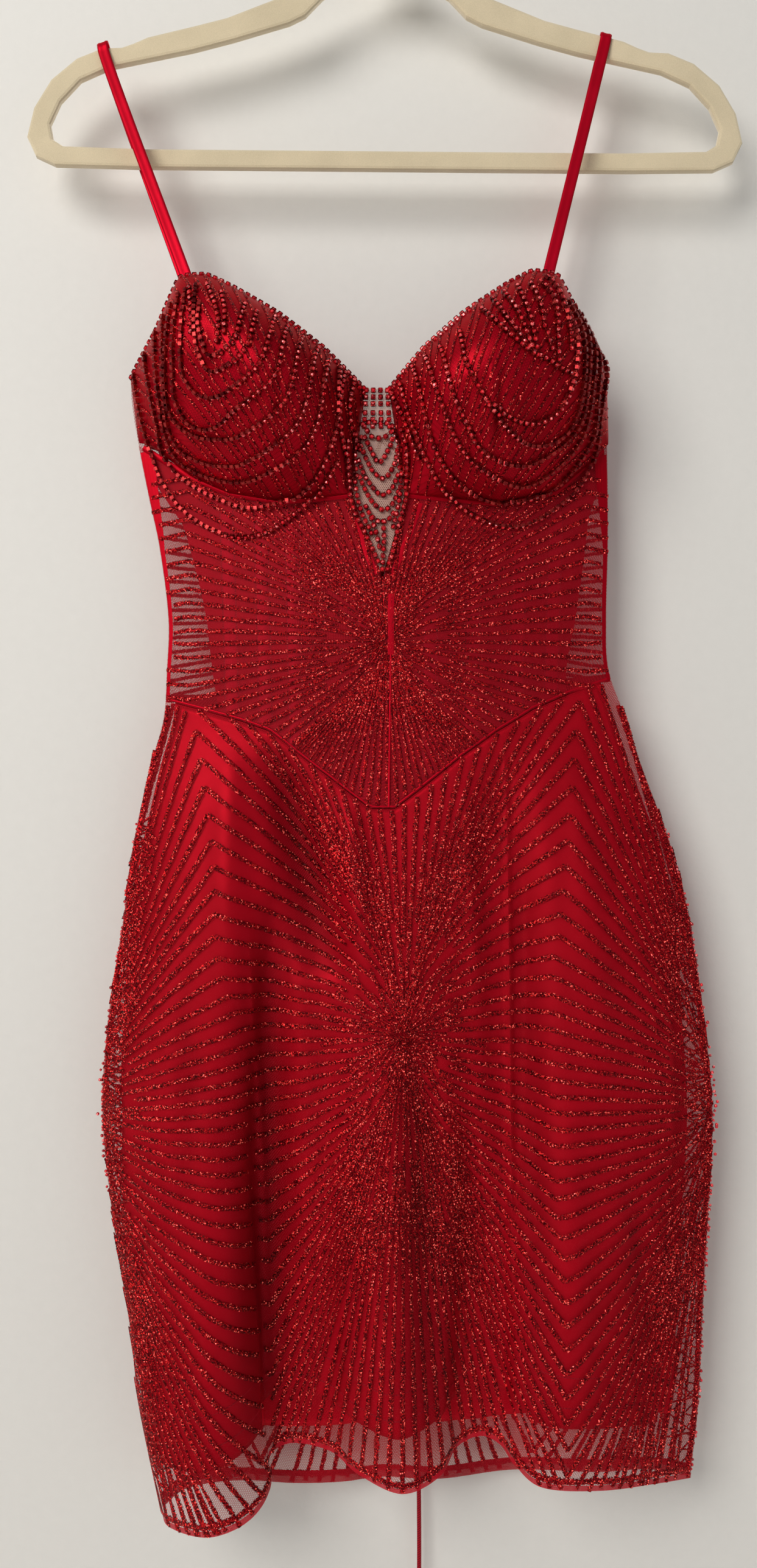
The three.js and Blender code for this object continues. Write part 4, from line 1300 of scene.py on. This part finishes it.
def makeBands():
    def band(name, panel, lines, width, material="boneSatin", slot="strap_satin", facing=-1, **style):
        lines = [inSmallSteps(points, width) for points in lines]
        addLines(name, [(panel, facing, lines)], material, slot, {**flatBand, **style})

    def onBody(line):
        return [(bodyPoint(across, z, -1).x, z) for across, z in line]

    bones = [[(x * 1.02, -446), (x * (1 - bands["boneLean"]), -628)] for x in bands["boneTops"]]
    wide = bands["boneWidth"]
    outer = wide + 2 * bands["boneEdge"]
    band("boneEdges", "bodice_lining", bones, outer, "cord", "bodice_lining", lift=0.05, crown=0)
    band("bones", "bodice_lining", bones, wide, "strapSatin", "bodice_lining", crown=0.6)
    band("insertBands", "bodice_front", [bands["leftEdge"], bands["rightEdge"]], bands["insertWidth"])
    band("centreBand", "bodice_front", [bands["centre"]], bands["insertWidth"], lift=0.9)
    band("centreSeam", "bodice_front", [bands["centreLow"]], bands["pipingWidth"], lift=0.9)
    sides = []
    for column, way in ((0, 0.5), (1, -0.5)):
        widths = [(z, straightAt(bands["sideWidths"], z)) for z in range(-404, -562, -2)]
        sides.append([(sectionAt(z)[column] + way * (width + 0.8), z, width) for z, width in widths])
    addLines("sideBands", [("bodice_front", -1, sides)], "bodiceSatin", "strap_satin", flatBand)
    seam = onBody([(k / 100, straightAt(waistSeam, k / 100) + 1.4) for k in range(1, 100)])
    band("waistPiping", "bodice_front", [seam], bands["pipingWidth"], lift=0.2, crown=0.5)
    for name, first, last in (("left", 0.01, 0.437), ("right", 0.563, 0.99)):
        places = [mix(first, last, k / 60) for k in range(61)]
        wire = onBody([(place, straightAt(bodiceTop, place) + 0.5) for place in places])
        casing, wide = "wireCasing_" + name, bands["casingWidth"]
        band(casing, "body", [wire], wide, "bodiceSatin", "bodice_lining", lift=0.3, crown=0.8)
    for side, name in ((-1, "left"), (1, "right")):
        top = [backPanelPoint(side, k / 20, 0.014) for k in range(21)]
        edge = [backPanelPoint(side, 0.95, k / 30) for k in range(31)]
        low = [backPanelPoint(side, k / 20, 0.994) for k in range(21)]
        lines = [[(p.x, p.z) for p in line] for line in (top, edge, low)]
        wide = bands["bindingWidth"]
        band("backBands_" + name, "back_" + name, lines, wide, "strapSatin", facing=1, lift=0.3)
    stitches = []
    for v in (0.93, 0.972):
        row = [skirtPoint(-1, mix(2 / 36, 34 / 36, k / 90), shape["liningDown"] * v) for k in range(91)]
        stitches.append([(p.x, p.z) for p in row])
    wide = bands["stitchWidth"]
    band("liningStitches", "lining_front", stitches, wide, "cord", "skirt_lining", lift=0.1, crown=0.3)


makeGlitter()
makeBands()
print("strips ready")

# square metal cups on chains, each with a faceted stone; a strand is a list of x and z
stones = {
    "size": 2.9,
    "deep": 1.9,
    "rim": 0.3,
    "gem": (1.25, 0.7, 1.0),  # radius at the foot and at the top, and height
    "pitch": 4.2,
    "insertPitch": 4.0,
    "edgePitch": 4.3,
    "edgeRuns": ((0.012, 1.0), (0.05, 0.42)),  # chains under a cup's top edge: how far down, and how long
    "swagRoll": 80,  # degrees that the stones of a swag turn on the wire, and those of other chains
    "plainRoll": 20,
    "wire": 0.7,
    "lift": 1.3,
    "seed": 11,
}
insertGrid = {"x": -6, "top": -375.6, "rows": 6, "columns": 4, "down": 4.05, "across": 4.3, "widen": 0.16}
leftStrands = [
    [
        (-107.3, -339.9), (-107.7, -352.1), (-105.6, -362.4), (-101, -370.1), (-93.6, -369.4),
        (-86.7, -362.8), (-82.3, -340.3),
    ],
    [
        (-110.6, -327), (-110.3, -349), (-108.5, -365.1), (-104.6, -374.3), (-98.3, -379), (-88.9, -376.1),
        (-80, -368.5), (-75.5, -345),
    ],
    [
        (-116.5, -329.8), (-118.4, -367.2), (-117.2, -379.3), (-111.5, -386.6), (-102.9, -390.8),
        (-93.3, -390.3), (-81.7, -384.5), (-72, -376.4), (-65.4, -346.1),
    ],
    [
        (-120.6, -332.3), (-124.3, -371.8), (-124.4, -388.1), (-118.4, -399.4), (-110.6, -404.2),
        (-100.8, -405.4), (-88.4, -399.6), (-65.6, -385), (-58.6, -351.4),
    ],
    [
        (-125.2, -336.4), (-130, -376.3), (-129.4, -391.5), (-121.9, -401.6), (-111.9, -407.7),
        (-99.2, -410.8), (-85.2, -411.1), (-59.4, -396.4), (-50.1, -356),
    ],
    [
        (-130.5, -340.8), (-131.5, -382.9), (-131.5, -398.9), (-125.4, -411.4), (-112.1, -419.3),
        (-98.7, -423.3), (-82.4, -423.5), (-51.8, -405), (-41.5, -360.1),
    ],
    [
        (-136.8, -347.4), (-135.4, -386.5), (-133.9, -402.8), (-128, -415.2), (-113.2, -424.9),
        (-93.8, -431.1), (-74.5, -430.5), (-45.5, -413.5), (-34.8, -364.7),
    ],
    [
        (-145.3, -355.8), (-139.4, -394.6), (-137.6, -410.7), (-130, -422.6), (-115.8, -433.3),
        (-98.2, -441.8), (-82.1, -446), (-48.3, -436.6), (-31.4, -408.8), (-28.8, -368.2),
    ],
    [
        (-154.5, -363.8), (-149, -396.5), (-145, -412.4), (-138.3, -428.6), (-126.4, -445),
        (-108.6, -457.2), (-90.9, -463.2), (-73.4, -460.3), (-42.1, -438.6), (-30.3, -423),
    ],
    [(-26.1, -370.1), (-28.6, -392.6), (-27.4, -410), (-23.5, -422.6)],
    [(-20.6, -372.2), (-23.3, -390.1), (-22, -402.8), (-18, -410.9)],
    [(-104.2, -326.4), (-98.3, -341.5), (-95.8, -352.3), (-96.3, -363.2)],
    [(-95.6, -332.6), (-92.6, -346.4), (-92.2, -358.3)],
    [(-114.5, -328.3), (-112.2, -341.6), (-111.9, -355.6)],
]
rightStrands = [
    [
        (101.5, -337.5), (110.1, -351.3), (110.2, -370.3), (106.6, -385.1), (98.5, -397.5), (85.3, -404.1),
        (73.1, -403.6), (57.8, -396.4),
    ],
    [
        (105.6, -333.8), (114.5, -348.6), (114.4, -387.4), (109.8, -401.3), (101.2, -410), (89.9, -414),
        (79.5, -413.7), (62.5, -402), (45.6, -376.2), (42.5, -355.8),
    ],
    [
        (110, -333.3), (118.6, -347.1), (118.5, -376.7), (115.6, -398.2), (105, -411.6), (91.4, -420.8),
        (78, -425.1), (56.9, -420), (39.9, -395), (31.6, -362.4),
    ],
    [
        (115.6, -334.2), (123.8, -349.1), (122.7, -374.9), (118.6, -402.9), (108.2, -417.9), (92.7, -430.4),
        (76.5, -434.6), (46.1, -420.4), (31.4, -393.7), (23.1, -364.4),
    ],
    [
        (121, -343), (127.7, -353.8), (126.7, -382.9), (125.9, -402), (118.8, -414.9), (107, -429.3),
        (92.8, -438.4), (75.1, -442.6), (48.9, -437.3), (30.3, -419.9), (16.3, -368.1),
    ],
    [
        (126.9, -349.6), (134, -356.5), (130.6, -386), (128.2, -411.5), (119, -431.3), (105.2, -444),
        (90.1, -453.9), (73.8, -457.3), (49.6, -448.9), (30.2, -431.8), (15.6, -400.6), (9.3, -376.1),
    ],
    [(4.2, -378.9), (9.3, -391.7), (15.1, -407.3), (19.7, -419.8)],
    [(88.4, -324.3), (95.6, -332.9), (97.1, -344), (97.6, -355.5), (98.6, -369.8)],
    [(83.2, -326.1), (87.4, -340), (89.7, -353), (93.7, -364.7)],
    [(75.7, -327.1), (79.6, -343.5), (83.1, -357.8), (85.8, -369.5)],
    [(68, -331.2), (74.4, -346.6), (79.2, -358.4), (83.2, -368.8)],
    [
        (61.7, -335.1), (66.9, -348), (74.1, -358.9), (80.5, -366.8), (91.2, -370.9), (100.8, -374),
        (109.6, -375.2),
    ],
    [(55.2, -341.7), (61.9, -352.1), (71.5, -361.7), (79.2, -367)],
    [(93.5, -319.7), (98.7, -327.5), (103.4, -341), (105.4, -353.5), (106.1, -362)],
]
insertStrands = [
    [(-14.5, -396), (-10, -394.6), (-5, -395.4), (0, -395.4), (3.4, -397)],
    [(-11.8, -400), (-9.4, -403.4), (-4.6, -404.4), (0, -403), (2.8, -400.6)],
    [(-13.4, -404), (-10.8, -409), (-4.7, -419.3), (1.6, -410), (3.4, -405)],
    [(-15.8, -409), (-12, -418), (-8, -425), (-1.8, -429), (4.4, -421), (6.4, -412)],
    [(-17, -418), (-13, -428), (-8, -435), (-3.2, -439), (2.4, -436), (6.8, -427)],
    [(-16.4, -428), (-12, -438), (-7, -445), (-2.1, -448), (3, -445), (7, -437)],
    [(-24.5, -409.5), (-24.7, -421.3), (-20.5, -446.5), (-12.6, -463), (-5.4, -479)],
    [(-20.2, -404), (-20.4, -421), (-16.4, -446), (-9.4, -462)],
    [(-16.2, -400), (-17.6, -409)],
    [(5.6, -400), (8.4, -409), (8.8, -425), (7.6, -442), (4, -458)],
    [(10, -402), (13, -412), (13.2, -427), (11.4, -442), (7.4, -457), (4.4, -470), (0.4, -484)],
    [(-12.6, -446), (-9, -452), (-4.4, -455), (0.6, -454), (4, -450)],
    [(-2.2, -455), (-1.6, -466), (-2.4, -478), (-2.8, -490)],
    [(-9.4, -453), (-6.4, -462), (-4.4, -470)],
]


def stoneParts():
    cup = bmesh.new()
    bmesh.ops.create_cube(cup, size=1)
    bmesh.ops.scale(cup, verts=cup.verts, vec=(stones["size"], stones["size"], stones["deep"]))
    upright = [edge for edge in cup.edges if abs((edge.verts[0].co - edge.verts[1].co).z) > 1]
    bmesh.ops.bevel(cup, geom=upright, offset=0.4, segments=1, profile=0.5, affect="EDGES", material=-1)
    top = [face for face in cup.faces if face.normal.z > 0.9]
    bmesh.ops.inset_region(cup, faces=top, thickness=stones["rim"])
    bmesh.ops.translate(cup, verts=top[0].verts, vec=(0, 0, -0.5))
    gem = bmesh.new()
    foot, table, high = stones["gem"]
    bmesh.ops.create_cone(gem, cap_ends=True, segments=8, radius1=foot, radius2=table, depth=high)
    bmesh.ops.translate(gem, verts=gem.verts, vec=(0, 0, stones["deep"] / 2))
    parts = []
    for made in (cup, gem):
        part = bpy.data.meshes.new("part")
        made.to_mesh(part)
        made.free()
        parts.append(part)
    return parts


def strandPath(points, hosts):
    # a strand given as x and z, hung over the foremost of the panels behind it
    spots = []
    for place in pathThrough([(x, 0, z) for x, z in points], 12 * (len(points) - 1)):
        best = None
        for host in hosts:
            hit, normal, _, _ = host.ray_cast(Vector((place.x * mm, -0.4, place.z * mm)), Vector((0, 1, 0)))
            if hit is not None and (best is None or hit.y < best[0].y):
                best = (hit, normal if normal.y < 0 else -normal)
        if best:
            spots.append(best)
    depths = [spot[0].y for spot in spots]
    for _ in range(14):
        for i in range(1, len(spots) - 1):
            depths[i] = min(spots[i][0].y, (depths[i - 1] + depths[i + 1]) / 2)
    lift = stones["lift"] * mm
    return [(Vector((spot.x, y, spot.z)) + normal * lift, normal) for (spot, normal), y in zip(spots, depths)]


def alongStrand(path, pitch):
    # even places along a strand: spot, direction, outward normal and share of the way
    total = sum((b[0] - a[0]).length for a, b in zip(path, path[1:]))
    if not total:
        return
    count = max(round(total / (pitch * mm)), 1)
    walked, i = 0.0, 0
    for k in range(count + 1):
        want = total * k / count
        while i < len(path) - 2 and walked + (path[i + 1][0] - path[i][0]).length < want:
            walked += (path[i + 1][0] - path[i][0]).length
            i += 1
        run = path[i + 1][0] - path[i][0]
        t = clamp((want - walked) / max(run.length, 1e-9))
        out = path[i][1].lerp(path[i + 1][1], t).normalized()
        yield path[i][0] + run * t, run.normalized(), out, k / count


seamBeads = {"top": -640, "low": -1044, "sizes": (0.9, 1.3), "gaps": (1.6, 4.2), "seed": 23}


def makeSeamBeads():
    # small round beads that stand out along the skirt's side seams, furthest at the side bursts
    tosses = random.Random(seamBeads["seed"])
    beads = bmesh.new()
    for column, way, burstZ in ((0, -1, frontPattern["left"][1]), (1, 1, frontPattern["right"][1])):
        z = seamBeads["top"]
        while z > seamBeads["low"]:
            far = tosses.uniform(-1.2, 1.2) + tosses.random() * 3 * math.exp(-(((z - burstZ) / 60) ** 2))
            place = Vector((sectionAt(z)[column] + way * far, tosses.uniform(-1.6, 0.6), z)) * mm
            size = tosses.uniform(*seamBeads["sizes"]) * mm
            bmesh.ops.create_icosphere(beads, subdivisions=1, radius=size, matrix=Matrix.Translation(place))
            z -= tosses.uniform(*seamBeads["gaps"])
    addPiece("seamBeads", beads, "gem", "rhinestone")


def makeStones():
    turns = random.Random(stones["seed"])
    cupPart, gemPart = stoneParts()
    cups, gems = bmesh.new(), bmesh.new()
    wire = bpy.data.curves.new("chainWire", "CURVE")
    wire.dimensions = "3D"
    wire.bevel_depth = stones["wire"] / 2 * mm
    wire.bevel_resolution = 0
    count = 0

    def setStone(spot, ahead, out, roll):
        nonlocal count
        out = Matrix.Rotation(math.radians(roll), 3, ahead) @ (out - ahead * out.dot(ahead)).normalized()
        turn = Matrix((ahead, out.cross(ahead), out)).transposed().to_4x4()
        matrix = Matrix.Translation(spot) @ turn @ Matrix.Scale(mm, 4)
        for target, part in ((cups, cupPart), (gems, gemPart)):
            placed = part.copy()
            placed.transform(matrix)
            target.from_mesh(placed)
            bpy.data.meshes.remove(placed)
        count += 1

    def addStrand(path, pitch, rollAt):
        line = wire.splines.new("POLY")
        line.points.add(len(path) - 1)
        for point, (spot, _) in zip(line.points, path):
            point.co = (*spot, 1)
        for spot, ahead, out, share in alongStrand(path, pitch):
            setStone(spot, ahead, out, rollAt(share) + turns.uniform(-9, 9))

    faces = [panels[name] for name in ("cup_left", "cup_right", "bodice_front", "insert")]
    for strands, way in ((leftStrands, 1), (rightStrands, -1)):
        for strand in strands:
            swag = strand[-1][1] - min(z for _, z in strand) > 12  # it rises again on its far side
            first = way * stones["swagRoll" if swag else "plainRoll"]
            path = strandPath(strand, faces)
            addStrand(path, stones["pitch"], lambda share: mix(first, 14, clamp((share - 0.55) / 0.2)))
    for strand in insertStrands:
        addStrand(strandPath(strand, faces), stones["insertPitch"], lambda share: 0)
    rows, columns = insertGrid["rows"], insertGrid["columns"]
    for row in range(rows):
        z = insertGrid["top"] - insertGrid["down"] * row - (1.4 if row > 2 else 0)
        for column in range(columns):
            pitch = insertGrid["across"] + insertGrid["widen"] * row
            x = insertGrid["x"] + (column - (columns - 1) / 2) * pitch
            path = strandPath([(x, z + 0.5), (x, z - 0.5)], faces)
            if len(path) > 1:
                spot, normal = path[len(path) // 2]
                setStone(spot, Vector((0, 0, -1)), normal, turns.uniform(-8, 8))
    for table in (leftCup, rightCup):
        for v, last in stones["edgeRuns"]:
            rim = [cupPoint(table, last * k / 80, v) * mm for k in range(81)]
            rim = [(spot + Vector((0, -1.6, 0.3)) * mm, Vector((0, -1, 0.25)).normalized()) for spot in rim]
            addStrand(rim, stones["edgePitch"], lambda share: 0)
    print("stones", count)
    addPiece("stoneCups", cups, "copper", "stone_setting", smooth=False)
    addPiece("stoneGems", gems, "gem", "rhinestone", smooth=False)
    addPiece("chainWire", wire, "copper", "stone_setting")


makeStones()
makeSeamBeads()
print("stones ready")


def declareCloth():
    pieces = {piece.name: piece for piece in bpy.data.objects}
    backPanels = ["backPanel_left", "backPanel_right"]
    cups = ["cup_left_satin", "cup_right_satin"]
    worn = {
        "skirtNet_front": ("hung", ["bodiceNet"], ["hemBand_front", "skirtGlitter_front"]),
        "skirtNet_back": ("hung", backPanels, ["hemBand_back", "skirtGlitter_back"]),
        "skirtLining_front": ("hung", ["bodiceNet"], ["liningStitches"]),
        "skirtLining_back": ("hung", backPanels, []),
        "bodiceNet": ("stretched", cups, ["bodiceGlitter", "insertBands", "centreBand"]),
        "bodiceLining": ("stretched", ["bodiceNet"], ["bones", "boneEdges"]),
        "backPanel_left": ("stretched", ["strap_left_satin", "bodiceNet"], ["backBands_left"]),
        "backPanel_right": ("stretched", ["strap_right_satin", "bodiceNet"], ["backBands_right"]),
        "insertMesh": ("stretched", ["bodiceNet"], []),
    }
    for name, (held, restsOn, going) in worn.items():
        piece, flat, area = cloths[name]
        along = [pieces[other] for other in going]
        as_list(restsOn)


declareCloth()


def makeRoom():
    floorMaterial = newMaterial("floorPaint", {"Base Color": room["floorColour"], "Roughness": 0.85})[0]
    floor = bmesh.new()
    bmesh.ops.create_grid(floor, x_segments=1, y_segments=1, size=4)
    bmesh.ops.translate(floor, verts=floor.verts, vec=(0, 0, room["floorZ"]))
    wallMaterial, tree, shader = newMaterial("wallPaint", {"Roughness": 0.9})
    grain = noiseAt(tree, objectPlace(tree), 140.0, 6.0)
    shade = tuple(c * 0.96 for c in room["wallColour"][:3]) + (1,)
    tree.links.new(blendColours(tree, grain, shade, room["wallColour"]), shader.inputs["Base Color"])
    addBump(tree, shader, grain, 0.25, 0.001)
    clearBack = addNode(tree, "MixShader", {0: addNode(tree, "NewGeometry").outputs["Backfacing"]})
    tree.links.new(shader.outputs[0], clearBack.inputs[1])
    tree.links.new(addNode(tree, "BsdfTransparent").outputs[0], clearBack.inputs[2])
    tree.links.new(clearBack.outputs[0], tree.nodes["Material Output"].inputs["Surface"])
    wall = bmesh.new()
    bmesh.ops.create_grid(wall, x_segments=1, y_segments=1, size=3)
    bmesh.ops.rotate(wall, verts=wall.verts, matrix=Matrix.Rotation(math.pi / 2, 3, "X"))
    bmesh.ops.translate(wall, verts=wall.verts, vec=(0, room["wallY"], room["floorZ"] + 3))
    for name, made, material in (("floor", floor, floorMaterial), ("wall", wall, wallMaterial)):
        data = bpy.data.meshes.new(name)
        made.to_mesh(data)
        made.free()
        data.materials.append(material)
        piece = bpy.data.objects.new(name, data)
        piece.visible_shadow = name == "floor"  # the lamp behind the wall lights the dress's back
        bpy.context.collection.objects.link(piece)
    for lamp in lamps:
        data = bpy.data.lights.new(lamp["name"], "AREA")
        data.energy = lamp["power"]
        data.size = lamp["size"]
        data.color = lamp["colour"]
        light = bpy.data.objects.new(lamp["name"], data)
        light.location = lamp["place"]
        aim = Vector(room["lampAim"]) - Vector(lamp["place"])
        light.rotation_euler = aim.to_track_quat("-Z", "Y").to_euler()
        bpy.context.collection.objects.link(light)
    world = bpy.data.worlds.new("world")
    world.use_nodes = True
    background = world.node_tree.nodes["Background"].inputs
    background["Color"].default_value = room["worldColour"]
    background["Strength"].default_value = room["worldStrength"]
    bpy.context.scene.world = world
    bpy.context.scene.view_settings.view_transform = "Standard"


makeRoom()
print("room ready")
